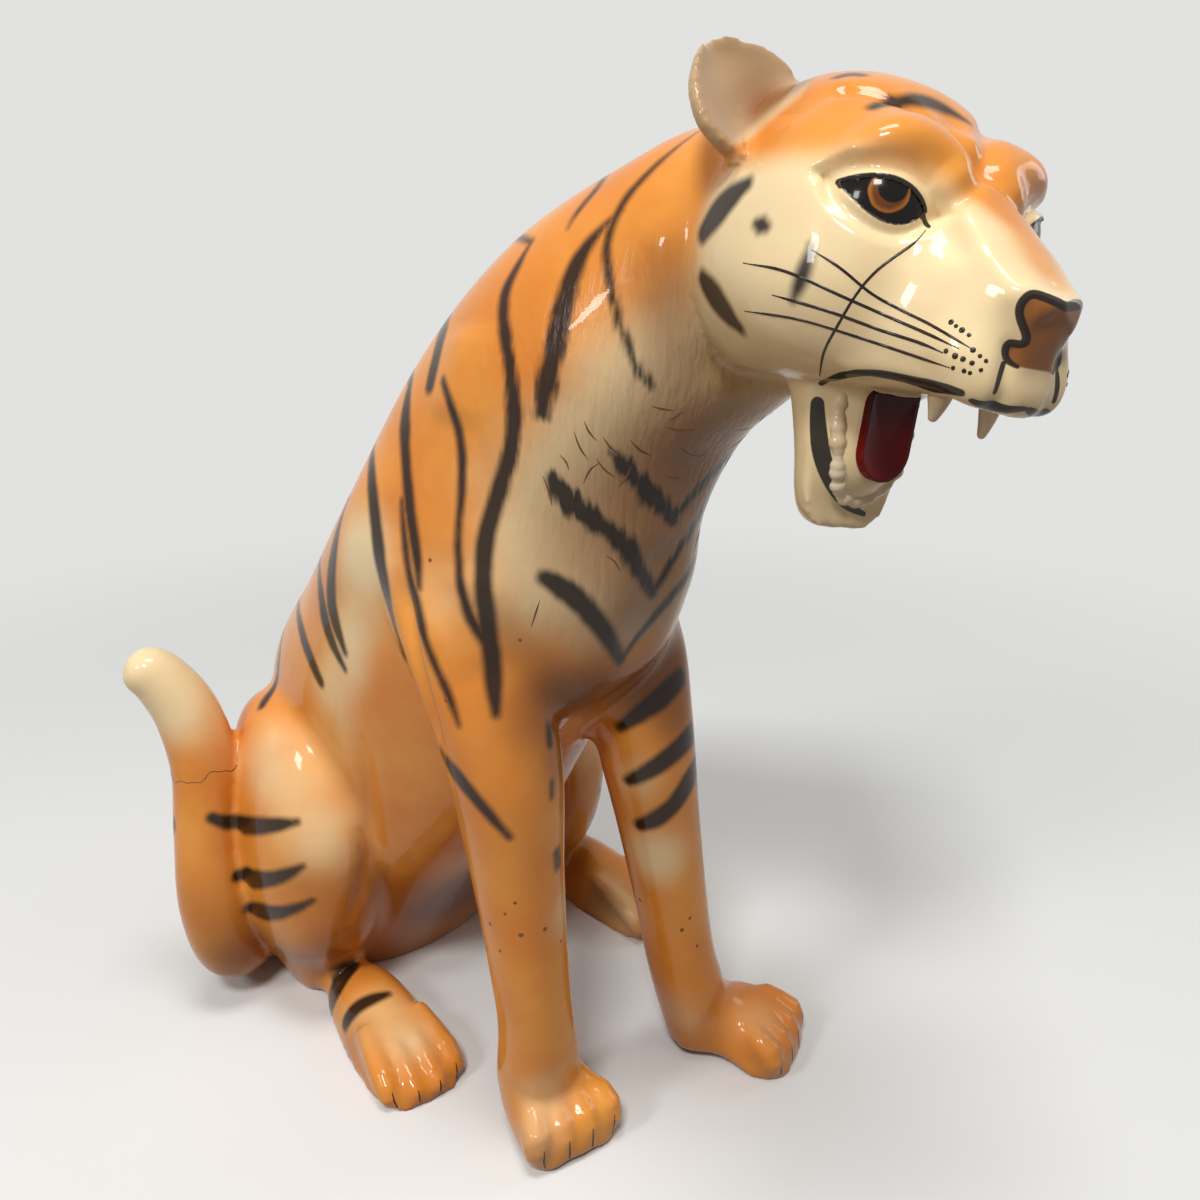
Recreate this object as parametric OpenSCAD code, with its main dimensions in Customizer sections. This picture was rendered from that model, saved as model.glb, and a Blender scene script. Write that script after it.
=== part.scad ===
// Seated tiger of glazed earthenware, slip-cast in hollow sections that are luted together.
// It faces -Y, its left side is +X, and its paws and seat stand on Z = 0.

/* [Body] */
// Half width of the seat on the floor
seat_half_w = 80; // [72:1:88]
// Half width of the belly above the seat
belly_half_w = 110; // [104:1:116]
// Half width of the chest between the shoulders
chest_half_w = 114; // [108:1:120]
// How far the chest stands forward of the spine
chest_depth = 184; // [172:1:190]
// Thickness of the cast wall
wall = 8; // [6:0.5:10]
// Diameter of the drain hole under the seat
drain_d = 50; // [30:1:60]

/* [Head] */
// Turn of the head to its right side
head_turn = 14; // [8:1:20]
// Lean of the head to its left side
head_lean = 10; // [4:1:14]
// Half width of the skull at the cheeks
skull_half_w = 85; // [80:1:90]
// Height of the crown above the middle of the head
crown_h = 96; // [92:1:101]
// Reach of the nose forward of the middle of the head
nose_reach = 125; // [118:1:132]
// Length of the lower jaw below the palate
jaw_drop = 80; // [70:1:88]
// Width of an eye between its corners
eye_w = 44; // [38:1:48]
// Height of an eye between its lids
eye_h = 26; // [20:1:30]
// Length of an upper fang
fang_h = 18; // [12:1:24]
// Height of an ear above its root
ear_h = 62; // [54:1:68]

/* [Legs] */
// Radius of a foreleg at the wrist
wrist_r = 29; // [26:0.5:31]
// Half width of a forepaw
paw_half_w = 42; // [38:1:45]
// Height of a forepaw at the knuckles
paw_h = 46; // [42:1:50]
// Half width of a haunch
haunch_half_w = 62; // [56:1:66]

/* [Tail] */
// Radius of the tail where it rises
tail_r = 30; // [27:0.5:32]
// Radius of the tail near its end
tip_r = 24; // [20:0.5:26]

/* [Hidden] */

amber = "#E3964F";
cream = "#EBD3A6";
blood_red = "#8E1414";
bone = "#EFE3CC";
dark_brown = "#3A2014";

body_sides = 28;
limb_sides = 20;
hollow_sides = 12;
body_roundness = 2.2;

// Rows of a loft: x, y, z, tilt, turn, half width, front, back
neck_seam = [44, -216, 650, 64, -6, 82, 76, 96];
torso_rows = [
    [0, 150, 0, 0, 0, seat_half_w, 42, 66],
    [0, 150, 50, 0, 0, belly_half_w - 6, 74, 92],
    [0, 145, 120, 0, 0, belly_half_w + 2, 120, 118],
    [0, 124, 210, 0, 0, belly_half_w + 7, 170, 152],
    [1, 82, 310, 2, 0, belly_half_w + 10, 186, 174],
    [2, 32, 400, 6, 0, chest_half_w + 2, chest_depth + 20, 130],
    [2, -20, 480, 12, 0, chest_half_w, chest_depth, 96],
    [8, -80, 555, 26, 0, 95, 142, 102],
    [24, -152, 610, 44, -2, 93, 94, 107],
    neck_seam
];

// Middle of the head, and the turn that its own frame has in the statue
head_at = [50, -318, 672];
head_nod = 2;
palate_z = -70;
jaw_front = -38;

// Rows of the skull from neck to nose: y, top, bottom, half width, level of that width, roundness
skull_rows = [
    [55, crown_h - 1, -78, skull_half_w - 3, 0, 2.1],
    [20, crown_h, -78, skull_half_w, -4, 2.2],
    [-15, crown_h - 9, -78, skull_half_w - 2, -8, 2.3],
    [-40, crown_h - 27, -76, skull_half_w - 8, -8, 2.3],
    [-58, 58, -75, skull_half_w - 19, -14, 2.3],
    [-75, 34, -75, 50, -30, 2.4],
    [-92, 18, -75, 40, -40, 2.5],
    [17 - nose_reach, 4, -74, 34, -45, 2.5],
    [7 - nose_reach, -8, -70, 27, -44, 2.4],
    [-nose_reach, -22, -60, 14, -42, 2.2]
];

// Core of the head, which swellings of the face rise away from: its height, and how it follows the nose
core_z = -10;
core_back = 40;
core_limit = 20;

// Swellings and hollows of the face: x, y, z, reach, height, with those off the middle on both sides
face_forms = [
    [44, -52, 48, 20, 7],
    [52, -60, 19, 16, -4],
    [66, -20, -36, 32, 5],
    [19, -108, -54, 16, 7],
    [30, -80, 4, 15, -6],
    [0, -50, 70, 13, -6],
    [0, -74, 34, 12, 2],
    [56, -42, -22, 22, 3],
    [11, -122, -22, 12, 9],
    [0, -126, -32, 11, 7]
];

// Rows of the lower jaw from chin to palate: share of its drop, half width, front, back
jaw_rows = [
    [1, 16, -38, 2],
    [0.92, 25, -47, 7],
    [0.75, 31, -54, 10],
    [0.5, 34, -56, 13],
    [0.19, 37, -58, 21],
    [0, 39, -58, 28]
];
jaw_roundness = 2.4;
jaw_sides = 24;

// Half width and thickness of the red slab, and the row of teeth round it
lining_half_w = 17;
lining_share = 0.62;
lining_drop = lining_share*jaw_drop;
lining_t = 4;
jaw_slope_w = 18;
tooth_r = 6.5;
tooth_taper = 0.8;
tooth_count = 10;
teeth_half_w = 25;
teeth_share = 0.78;
teeth_drop = teeth_share*jaw_drop;

// Place of an eye on the left side, and the almond that it shows
eye_at = [53, -61, 20];
eye_out = 39;
eye_up = 10;
eye_slant = 12;
eye_sink = 14;
eye_ball_r = 30;
eye_stand = 4;
eye_play = 0.2;
lid_r = 4;
lid_steps = 3;

// Place of a fang on the left side, its width, and how much of its length the worn right one keeps
fang_at = [18, -90];
fang_r = 6;
fang_end_r = 1.5;
right_fang_share = 0.7;

// Ear on the left side, from its root to its end: share of its height, half width, half depth
ear_root = [49, 36, 58];
ear_up = [0.64, 0.37, 0.67];
ear_across = [0.76, -0.41, -0.5];
ear_rows = [
    [0, 42, 16],
    [0.25, 50, 14],
    [0.5, 50, 12],
    [0.75, 38, 9],
    [0.92, 21, 6],
    [1, 7, 3]
];
ear_wall = 6;
ear_sides = 16;

// Rows of the legs from the floor up: x, y, z, tilt, turn, half width, front, back
right_foreleg_rows = [
    [-58, -138, 0, 0, 0, wrist_r + 3, wrist_r + 4, wrist_r + 3],
    [-59, -142, 50, 0, 0, wrist_r + 4, wrist_r + 2, wrist_r + 5],
    [-64, -146, 100, 2, 0, wrist_r, wrist_r + 1, wrist_r + 1],
    [-69, -146, 150, 2, 0, wrist_r, wrist_r + 1, wrist_r + 1],
    [-74, -140, 240, 2, 0, wrist_r + 4, wrist_r + 6, wrist_r + 5],
    [-78, -132, 330, 4, 0, wrist_r + 11, wrist_r + 15, wrist_r + 13],
    [-76, -100, 400, 8, 0, 46, 56, 54],
    [-66, -40, 480, 10, 0, 48, 70, 60]
];
left_foreleg_rows = [
    [103, -168, 0, 0, 0, wrist_r - 3, wrist_r - 3, wrist_r - 5],
    [95, -166, 50, 0, 0, wrist_r + 2, wrist_r + 1, wrist_r + 4],
    [82, -160, 100, 2, 0, wrist_r, wrist_r + 1, wrist_r + 1],
    [74, -156, 150, 2, 0, wrist_r, wrist_r + 1, wrist_r + 1],
    [63, -146, 240, 2, 0, wrist_r + 4, wrist_r + 6, wrist_r + 5],
    [54, -132, 330, 4, 0, wrist_r + 11, wrist_r + 15, wrist_r + 13],
    [58, -100, 400, 8, 0, 46, 56, 54],
    [60, -40, 480, 10, 0, 48, 70, 60]
];
right_haunch_rows = [
    [-104, 150, 0, 0, 0, haunch_half_w - 36, 44, 46],
    [-106, 144, 40, 0, 0, haunch_half_w - 20, 54, 60],
    [-112, 130, 90, 0, 0, haunch_half_w - 6, 74, 76],
    [-112, 128, 150, 0, 0, haunch_half_w, 92, 84],
    [-108, 130, 215, 0, 0, haunch_half_w - 2, 96, 84],
    [-97, 144, 276, 0, 0, haunch_half_w - 13, 76, 62],
    [-88, 148, 300, 0, 0, haunch_half_w - 42, 30, 26]
];
// The left haunch lies further out, and its knee further forward
left_haunch_out = 20;
left_haunch_wider = 4;
left_knee_ahead = 12;
left_haunch_rows = [
    for (row = right_haunch_rows)
        [
            left_haunch_out - row[0], row[1], row[2], 0, 0,
            row[5] + left_haunch_wider, row[6] + left_knee_ahead, row[7]
        ]
];

// Rows of a paw from heel to toes: share of its length, of its half width, of its height
paw_rows = [
    [0, 0.5, 0.55],
    [0.08, 0.7, 0.95],
    [0.3, 0.88, 1.3],
    [0.55, 1, 1.2],
    [0.8, 0.98, 0.82],
    [0.95, 0.8, 0.5],
    [1, 0.42, 0.3]
];
paw_roundness = 2.4;
paw_arc = 10;

// Toes of a paw: their reach and gap as shares of its length and half width, their radius as a share of
// its half width, and knuckle, middle and end as shares of side place, length, height and radius
toe_count = 4;
toe_gap = 0.5;
toe_reach = 1.04;
outer_toe_loss = 0.05;
toe_w = 0.27;
toe_knuckle = [0.85, 0.6, 0.86, 1];
toe_middle = [1, 0.84, 0.6, 1.08];
toe_end = [1.02, 1, 0.3, 0.95];
ball_sides = 8;

// Each paw: x and y of its heel, heading, length, half width, height
right_forepaw = [-47, -106, -9, 92, paw_half_w, paw_h];
left_forepaw = [112, -148, 22, 98, paw_half_w - 3, paw_h - 4];
right_hindpaw = [-95, 110, -7, 180, paw_half_w - 4, paw_h - 12];
left_hindpaw = [178, 160, 3, 205, paw_half_w - 6, paw_h - 4];

// Course of the tail from the rump: x, y, z, radius
tail_course = [
    [0, 196, 44, tail_r],
    [-66, 226, 36, tail_r + 1],
    [-132, 212, 34, tail_r + 1],
    [-176, 172, 52, tail_r + 1],
    [-190, 162, 110, tail_r + 2],
    [-186, 166, 180, tail_r],
    [-180, 170, 240, tail_r - 1],
    [-186, 180, 290, tip_r + 3],
    [-200, 190, 322, tip_r],
    [-215, 197, 337, tip_r - 4],
    [-223, 201, 344, tip_r - 14]
];
tail_break = 6;
tail_sides = 13;

// Shift that puts the origin under the middle of the statue
to_middle = [3.2, 87.5, 0];
floor_w = 1200;

// A smooth step between the middle two of four rows
function between(a, b, c, d, t) =
    0.5*(2*b + (c - a)*t + (2*a - 5*b + 4*c - d)*t*t + (3*b - a - 3*c + d)*t*t*t);

// The rows of a loft with so many smooth steps from each row to the next
function smooth(rows, steps) =
    let (
        last = len(rows) - 1,
        padded = concat([2*rows[0] - rows[1]], rows, [2*rows[last] - rows[last - 1]])
    )
    concat(
        [
            for (i = [0:last - 1], k = [0:steps - 1])
                between(padded[i], padded[i + 1], padded[i + 2], padded[i + 3], k/steps)
        ],
        [rows[last]]
    );

function squared(value, roundness) = sign(value)*pow(abs(value), 2/roundness);
function unit(v) = v/norm(v);
function total(values) = values*[for (v = values) 1];
function flat(lists) = [for (list = lists, item = list) item];
function centre(points) = [for (i = [0:2]) total([for (p = points) p[i]])/len(points)];

// One oval ring of a loft
function ring(row, sides) =
    let (
        across = [cos(row[4]), sin(row[4]), 0],
        along = [-sin(row[4])*cos(row[3]), cos(row[4])*cos(row[3]), sin(row[3])]
    )
    [
        for (k = [0:sides - 1])
            let (a = 360*k/sides, depth = sin(a) < 0 ? row[6] : row[7])
            [row[0], row[1], row[2]]
                + row[5]*squared(cos(a), body_roundness)*across
                + depth*squared(sin(a), body_roundness)*along
    ];
function rings(rows, sides, steps) = [for (row = smooth(rows, steps)) ring(row, sides)];

// A ring drawn in towards its middle by the thickness of a wall
function drawn_in(points, depth) =
    let (middle = centre(points))
    [for (p = points) p + depth*unit(middle - p)];

// The rows of the hollow inside a limb
function hollow(rows) = [
    for (i = [0:len(rows) - 1])
        rows[i] + [0, 0, i == 0 ? wall : 0, 0, 0, -wall, -wall, -wall]
];

// A point of the head's own frame in the statue
function turn_z(p, a) = [p[0]*cos(a) - p[1]*sin(a), p[0]*sin(a) + p[1]*cos(a), p[2]];
function turn_x(p, a) = [p[0], p[1]*cos(a) - p[2]*sin(a), p[1]*sin(a) + p[2]*cos(a)];
function turn_y(p, a) = [p[0]*cos(a) + p[2]*sin(a), p[1], p[2]*cos(a) - p[0]*sin(a)];
function in_statue(p) = head_at + turn_z(turn_x(turn_y(p, head_lean), -head_nod), -head_turn);

// A point of the skull moved by the forms of the face
function formed(p) =
    let (
        core = [0, min(p[1] + core_back, core_limit), core_z],
        lifts = [
            for (form = face_forms, side = form[0] == 0 ? [1] : [1, -1])
                let (gap = p - [side*form[0], form[1], form[2]])
                form[4]*exp(-gap*gap/(form[3]*form[3]))
        ],
        moved = p + total(lifts)*unit(p - core)
    )
    [moved[0], moved[1], max(moved[2], palate_z)];

function skull_ring(row, sides) = [
    for (k = [0:sides - 1])
        let (a = 360*k/sides, depth = sin(a) < 0 ? row[4] - row[2] : row[1] - row[4])
        in_statue(formed([
            row[3]*squared(cos(a), row[5]),
            row[0],
            row[4] + depth*squared(sin(a), row[5])
        ]))
];

// Front of the jaw: flat under the red slab, and sloping back all round it
function jaw_slope(x, drop) =
    let (low = max(0, drop - lining_drop + lining_half_w))
    jaw_front + min(jaw_slope_w, max(0, norm([x, low]) - lining_half_w));

function jaw_ring(row) =
    let (middle = (row[2] + row[3])/2, depth = (row[3] - row[2])/2)
    [
        for (k = [0:jaw_sides - 1])
            let (a = 360*k/jaw_sides)
            [
                row[1]*squared(cos(a), jaw_roundness),
                max(
                    jaw_slope(row[1]*squared(cos(a), jaw_roundness), row[0]*jaw_drop),
                    middle + depth*squared(sin(a), jaw_roundness)
                ),
                palate_z - row[0]*jaw_drop
            ]
    ];

function paw_ring(row, length, half_w, height) = [
    for (k = [0:paw_arc])
        let (a = 180*k/paw_arc)
        [
            row[1]*half_w*squared(cos(a), paw_roundness),
            -row[0]*length,
            row[2]*height*squared(sin(a), paw_roundness)
        ]
];

function ear_ring(row, side_wall, ahead) =
    let (behind = unit(cross(ear_up, ear_across)))
    [
        for (k = [0:ear_sides - 1])
            let (a = 360*k/ear_sides)
            ear_root + row[0]*ear_h*unit(ear_up) - ahead*behind
                + max(row[1] - side_wall, 1)*cos(a)*unit(ear_across)
                + row[2]*sin(a)*behind
    ];

// Rings square to the course of a tube
function tube_rings(course, steps, thinner) =
    let (rows = smooth(course, steps), last = len(rows) - 1)
    [
        for (i = [0:last])
            let (
                step = rows[min(i + 1, last)] - rows[max(i - 1, 0)],
                along = unit([step[0], step[1], step[2]]),
                across = unit(cross([0, 1, 0], along)),
                over = cross(along, across)
            )
            [
                for (k = [0:tail_sides - 1])
                    let (a = 360*k/tail_sides)
                    [rows[i][0], rows[i][1], rows[i][2]]
                        + (rows[i][3] - thinner)*(cos(a)*across + sin(a)*over)
            ]
    ];

// Triangles between rings, with the points counted from start
function side_faces(count, sides, start) = [
    for (i = [0:count - 2], k = [0:sides - 1])
        let (
            next = (k + 1)%sides,
            low = start + i*sides,
            high = low + sides
        )
        each [[low + k, high + k, high + next], [low + k, high + next, low + next]]
];
function turned(faces) = [for (face = faces) [face[0], face[2], face[1]]];
function around(sides, start) = [for (k = [0:sides - 1]) start + k];
function backwards(list) = [for (i = [len(list) - 1:-1:0]) list[i]];

// Triangles of the rim between an outer ring and an inner ring
function rim_faces(outer_start, inner_start, sides) = [
    for (k = [0:sides - 1])
        let (next = (k + 1)%sides)
        each [
            [outer_start + k, outer_start + next, inner_start + next],
            [outer_start + k, inner_start + next, inner_start + k]
        ]
];

// A solid skinned over rings, with flat ends
module skin(loops) {
    sides = len(loops[0]);
    polyhedron(
        points = flat(loops),
        faces = concat(
            side_faces(len(loops), sides, 0),
            [around(sides, 0)],
            [backwards(around(sides, (len(loops) - 1)*sides))]
        )
    );
}

// A cast wall between outer and inner rings, open at both ends
module open_shell(outer, inner) {
    sides = len(outer[0]);
    inner_start = len(outer)*sides;
    inner_end = inner_start + (len(inner) - 1)*sides;
    polyhedron(
        points = concat(flat(outer), flat(inner)),
        faces = concat(
            side_faces(len(outer), sides, 0),
            turned(side_faces(len(inner), sides, inner_start)),
            rim_faces(0, inner_start, sides),
            turned(rim_faces(inner_start - sides, inner_end, sides))
        )
    );
}

// A cast wall that is open at its first ring and closed at its last
module cup_shell(outer, inner) {
    sides = len(outer[0]);
    inner_start = len(outer)*sides;
    inner_end = inner_start + (len(inner) - 1)*sides;
    polyhedron(
        points = concat(flat(outer), flat(inner)),
        faces = concat(
            side_faces(len(outer), sides, 0),
            turned(side_faces(len(inner), sides, inner_start)),
            rim_faces(0, inner_start, sides),
            [backwards(around(sides, inner_start - sides))],
            [around(sides, inner_end)]
        )
    );
}

torso_rings = rings(torso_rows, body_sides, 2);
torso_inner = rings(torso_rows, body_sides, 1);
seat_middle = centre(torso_rings[0]);
drain_ring = [
    for (k = [0:body_sides - 1])
        let (a = 360*k/body_sides)
        [seat_middle[0] + drain_d/2*cos(a), seat_middle[1] + drain_d/2*sin(a), 0]
];
function lifted(points, height) = [for (p = points) p + [0, 0, height]];

neck_ring = ring(neck_seam, body_sides);
skull_rings = [for (row = smooth(skull_rows, 2)) skull_ring(row, body_sides)];
head_rings = concat([neck_ring], [(neck_ring + skull_rings[0])/2], skull_rings);
head_cavity_rows = 3;
head_inner = concat(
    [drawn_in(neck_ring, wall)],
    [for (i = [0:head_cavity_rows]) drawn_in(skull_ring(skull_rows[i], body_sides), wall)]
);

module torso_solid() {
    skin(torso_rings);
}

module torso() {
    color(amber) translate(to_middle) open_shell(
        torso_rings,
        concat(
            [drain_ring, lifted(drain_ring, wall), lifted(drawn_in(torso_rings[0], wall), wall)],
            [for (i = [1:len(torso_inner) - 1]) drawn_in(torso_inner[i], wall)]
        )
    );
}

// The head's own frame: nose along -Y, crown along +Z
module in_head() {
    translate(head_at) rotate([0, 0, -head_turn]) rotate([-head_nod, 0, 0]) rotate([0, head_lean, 0])
        children();
}

// The frame of an eye: looking along +Z, with its outer corner along +X
module at_eye(side) {
    in_head() mirror([side < 0 ? 1 : 0, 0, 0]) translate(eye_at) rotate([0, 0, eye_out])
        rotate([90 - eye_up, 0, 0]) rotate([0, 0, eye_slant])
            children();
}

eye_half_w = eye_w/2;
eye_half_h = eye_h/2;
almond_sum = eye_half_w*eye_half_w/eye_half_h;
almond_r = (almond_sum + eye_half_h)/2;
almond_off = (almond_sum - eye_half_h)/2;

module almond(play) {
    intersection() {
        translate([0, almond_off]) circle(almond_r + play, $fn = 48);
        translate([0, -almond_off]) circle(almond_r + play, $fn = 48);
    }
}

module eye(side) {
    translate(to_middle) at_eye(side) intersection() {
        translate([0, 0, -eye_sink]) linear_extrude(2*eye_sink) almond(0);
        translate([0, 0, eye_stand - eye_ball_r]) sphere(eye_ball_r, $fn = 28);
    }
}

// A place on the edge of the almond, from the inner corner to the outer
function lid_at(k, above) =
    let (x = eye_half_w*(2*k/lid_steps - 1))
    [x, above*(sqrt(almond_r*almond_r - x*x) - almond_off + lid_r/2), -x*x/(3*eye_ball_r)];

module lids(side) {
    at_eye(side)
        for (above = [1, -1], k = [0:lid_steps - 1])
            hull() {
                translate(lid_at(k, above)) sphere(lid_r, $fn = ball_sides);
                translate(lid_at(k + 1, above)) sphere(lid_r, $fn = ball_sides);
            }
}

module head_solid() {
    skin(head_rings);
    lids(1);
    lids(-1);
}

module head() {
    color(amber) translate(to_middle) difference() {
        union() {
            cup_shell(head_rings, head_inner);
            lids(1);
            lids(-1);
        }
        for (side = [1, -1])
            at_eye(side) translate([0, 0, -eye_sink]) linear_extrude(3*eye_sink) almond(eye_play);
    }
}

module jaw_solid() {
    skin([for (row = smooth(jaw_rows, 2)) jaw_ring(row)]);
}

module lower_jaw() {
    color(cream) translate(to_middle) in_head() jaw_solid();
}

module mouth_lining() {
    straight = lining_drop - lining_half_w;
    color(blood_red) translate(to_middle) in_head()
        translate([0, jaw_front, palate_z]) rotate([90, 0, 0]) linear_extrude(lining_t) {
            translate([-lining_half_w, -straight]) square([2*lining_half_w, straight]);
            translate([0, -straight]) circle(lining_half_w, $fn = 48);
        }
}

// A place on the row of lower teeth, which runs down one side of the jaw and up the other
function tooth_at(k) =
    let (a = 180*k/tooth_count)
    let (
        x = teeth_half_w*squared(cos(a), jaw_roundness),
        drop = tooth_r + (teeth_drop - tooth_r)*squared(sin(a), jaw_roundness)
    )
    [x, jaw_slope(x, drop), palate_z - drop];

module lower_teeth() {
    color(bone) translate(to_middle) in_head() difference() {
        for (k = [0:tooth_count - 1])
            hull() {
                translate(tooth_at(k)) sphere(tooth_r, $fn = ball_sides);
                translate(tooth_at(k + 1)) sphere(tooth_taper*tooth_r, $fn = ball_sides);
            }
        jaw_solid();
        translate([-floor_w/2, jaw_front - floor_w/2, palate_z]) cube(floor_w);
    }
}

module fang(side, length) {
    color(bone) translate(to_middle) in_head()
        translate([side*fang_at[0], fang_at[1], palate_z - length])
            cylinder(h = length, r1 = fang_end_r, r2 = fang_r, $fn = 24);
}

module left_fang() {
    fang(1, fang_h);
}

module right_fang() {
    fang(-1, right_fang_share*fang_h);
}

module ear(side) {
    color(cream) translate(to_middle) difference() {
        in_head() mirror([side < 0 ? 1 : 0, 0, 0]) difference() {
            skin([for (row = ear_rows) ear_ring(row, 0, 0)]);
            skin([for (row = ear_rows) ear_ring(row, ear_wall, ear_wall)]);
        }
        head_solid();
    }
}

module left_ear() {
    ear(1);
}

module right_ear() {
    ear(-1);
}

module left_eye() {
    color(dark_brown) eye(1);
}

module right_eye() {
    color(dark_brown) eye(-1);
}

module below_floor() {
    translate([-floor_w/2, -floor_w/2, -floor_w]) cube(floor_w);
}

// A round of clay at one place along a toe
module toe_ball(row, side, length, height, toe_r) {
    translate([row[0]*side, -row[1]*length, row[2]*height]) sphere(row[3]*toe_r, $fn = ball_sides);
}

// One toe from its knuckle over its middle to its end
module toe(side, length, half_w, height, reach) {
    toe_r = toe_w*half_w;
    hull() {
        toe_ball(toe_knuckle, side, length, height, toe_r);
        toe_ball(toe_middle, side, length, height, toe_r);
    }
    hull() {
        toe_ball(toe_middle, side, length, height, toe_r);
        toe_ball(toe_end, side, reach - toe_r, height, toe_r);
    }
}

module paw(place) {
    length = place[3];
    half_w = place[4];
    height = place[5];
    translate([place[0], place[1], 0]) rotate([0, 0, place[2]]) {
        skin([for (row = smooth(paw_rows, 2)) paw_ring(row, length, half_w, height)]);
        for (i = [0:toe_count - 1]) {
            off = i - (toe_count - 1)/2;
            reach = length*(toe_reach - outer_toe_loss*abs(off));
            toe(toe_gap*off*half_w, length, half_w, height, reach);
        }
    }
}

module limb_solid(rows, place) {
    skin(rings(rows, limb_sides, 2));
    paw(place);
}

// A hollow leg that is luted to the torso
module limb(rows, place) {
    color(amber) translate(to_middle) difference() {
        limb_solid(rows, place);
        torso_solid();
        skin(rings(hollow(rows), hollow_sides, 1));
        below_floor();
    }
}

module left_foreleg() {
    limb(left_foreleg_rows, left_forepaw);
}

module right_foreleg() {
    limb(right_foreleg_rows, right_forepaw);
}

module left_hind_leg() {
    limb(left_haunch_rows, left_hindpaw);
}

module right_hind_leg() {
    limb(right_haunch_rows, right_hindpaw);
}

tail_steps = 2;
tail_rings = tube_rings(tail_course, tail_steps, 0);
tail_inner = tube_rings(tail_course, tail_steps, wall);
tail_last = len(tail_rings) - 1;
break_ring = tail_break*tail_steps;

module tail() {
    color(amber) translate(to_middle) difference() {
        skin([for (i = [0:break_ring]) tail_rings[i]]);
        skin([for (i = [0:break_ring + 1]) tail_inner[i]]);
        torso_solid();
        limb_solid(right_haunch_rows, right_hindpaw);
        below_floor();
    }
}

module tail_tip() {
    color(amber) translate(to_middle) difference() {
        cup_shell(
            [for (i = [break_ring:tail_last]) tail_rings[i]],
            [for (i = [break_ring:tail_last - 2]) tail_inner[i]]
        );
        limb_solid(right_haunch_rows, right_hindpaw);
    }
}

torso();
head();
lower_jaw();
mouth_lining();
lower_teeth();
left_fang();
right_fang();
left_ear();
right_ear();
left_eye();
right_eye();
left_foreleg();
right_foreleg();
left_hind_leg();
right_hind_leg();
tail();
tail_tip();
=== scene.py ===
import math

import bmesh
import bpy
import numpy as np
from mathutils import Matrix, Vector
from mathutils.bvhtree import BVHTree


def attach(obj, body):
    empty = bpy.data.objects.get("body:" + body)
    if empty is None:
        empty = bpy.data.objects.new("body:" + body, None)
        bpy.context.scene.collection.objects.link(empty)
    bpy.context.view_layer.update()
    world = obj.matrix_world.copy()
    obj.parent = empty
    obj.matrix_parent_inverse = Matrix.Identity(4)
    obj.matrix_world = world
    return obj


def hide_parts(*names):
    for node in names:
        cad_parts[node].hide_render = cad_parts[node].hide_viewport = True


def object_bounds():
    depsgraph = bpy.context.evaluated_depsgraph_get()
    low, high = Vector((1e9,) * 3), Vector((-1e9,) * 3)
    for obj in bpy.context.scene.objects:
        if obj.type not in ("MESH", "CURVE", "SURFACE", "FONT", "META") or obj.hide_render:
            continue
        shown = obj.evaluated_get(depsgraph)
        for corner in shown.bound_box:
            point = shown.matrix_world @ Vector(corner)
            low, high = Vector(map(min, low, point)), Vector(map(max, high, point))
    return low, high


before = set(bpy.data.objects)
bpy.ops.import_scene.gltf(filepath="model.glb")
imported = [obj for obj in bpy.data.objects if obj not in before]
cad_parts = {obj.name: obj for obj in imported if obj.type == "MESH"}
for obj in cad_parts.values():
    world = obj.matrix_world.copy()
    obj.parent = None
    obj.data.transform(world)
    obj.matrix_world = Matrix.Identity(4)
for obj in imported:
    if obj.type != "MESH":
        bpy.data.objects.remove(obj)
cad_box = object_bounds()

bl_info = {
    "name": "Ceramic tiger",
    "version": (1, 0, 0),
    "blender": (4, 5, 0),
    "location": "View3D > Sidebar > Tiger",
    "description": "Forms, glazes and lights a seated ceramic tiger",
    "category": "Object",
}

# Stations of the statue in mm: it faces -Y, its own left is +X and the floor is z = 0
MM = 0.001
TO_MIDDLE = np.array([3.2, 87.5, 0.0])
BODY_ROUNDNESS = 2.2
NECK_SEAM = (44, -216, 650, 64, -6, 82, 76, 96)
# x, y, z, tilt, turn, half width, front and back of each oval of torso, forelegs and haunches
TORSO = [
    (0, 150, 0, 0, 0, 80, 42, 66),
    (0, 150, 50, 0, 0, 104, 74, 92),
    (0, 145, 120, 0, 0, 112, 120, 118),
    (0, 124, 210, 0, 0, 117, 170, 152),
    (1, 82, 310, 2, 0, 120, 186, 174),
    (2, 32, 400, 6, 0, 116, 204, 130),
    (2, -20, 480, 12, 0, 114, 184, 96),
    (8, -80, 555, 26, 0, 95, 142, 102),
    (24, -152, 610, 44, -2, 93, 94, 107),
    NECK_SEAM,
]
RIGHT_FORELEG = [
    (-58, -138, 0, 0, 0, 32, 33, 32),
    (-59, -142, 50, 0, 0, 33, 31, 34),
    (-64, -146, 100, 2, 0, 29, 30, 30),
    (-69, -146, 150, 2, 0, 29, 30, 30),
    (-74, -140, 240, 2, 0, 33, 35, 34),
    (-78, -132, 330, 4, 0, 40, 44, 42),
    (-76, -100, 400, 8, 0, 46, 56, 54),
    (-66, -40, 480, 10, 0, 48, 70, 60),
]
LEFT_FORELEG = [
    (103, -168, 0, 0, 0, 26, 26, 24),
    (95, -166, 50, 0, 0, 31, 30, 33),
    (82, -160, 100, 2, 0, 29, 30, 30),
    (74, -156, 150, 2, 0, 29, 30, 30),
    (63, -146, 240, 2, 0, 33, 35, 34),
    (54, -132, 330, 4, 0, 40, 44, 42),
    (58, -100, 400, 8, 0, 46, 56, 54),
    (60, -40, 480, 10, 0, 48, 70, 60),
]
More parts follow.
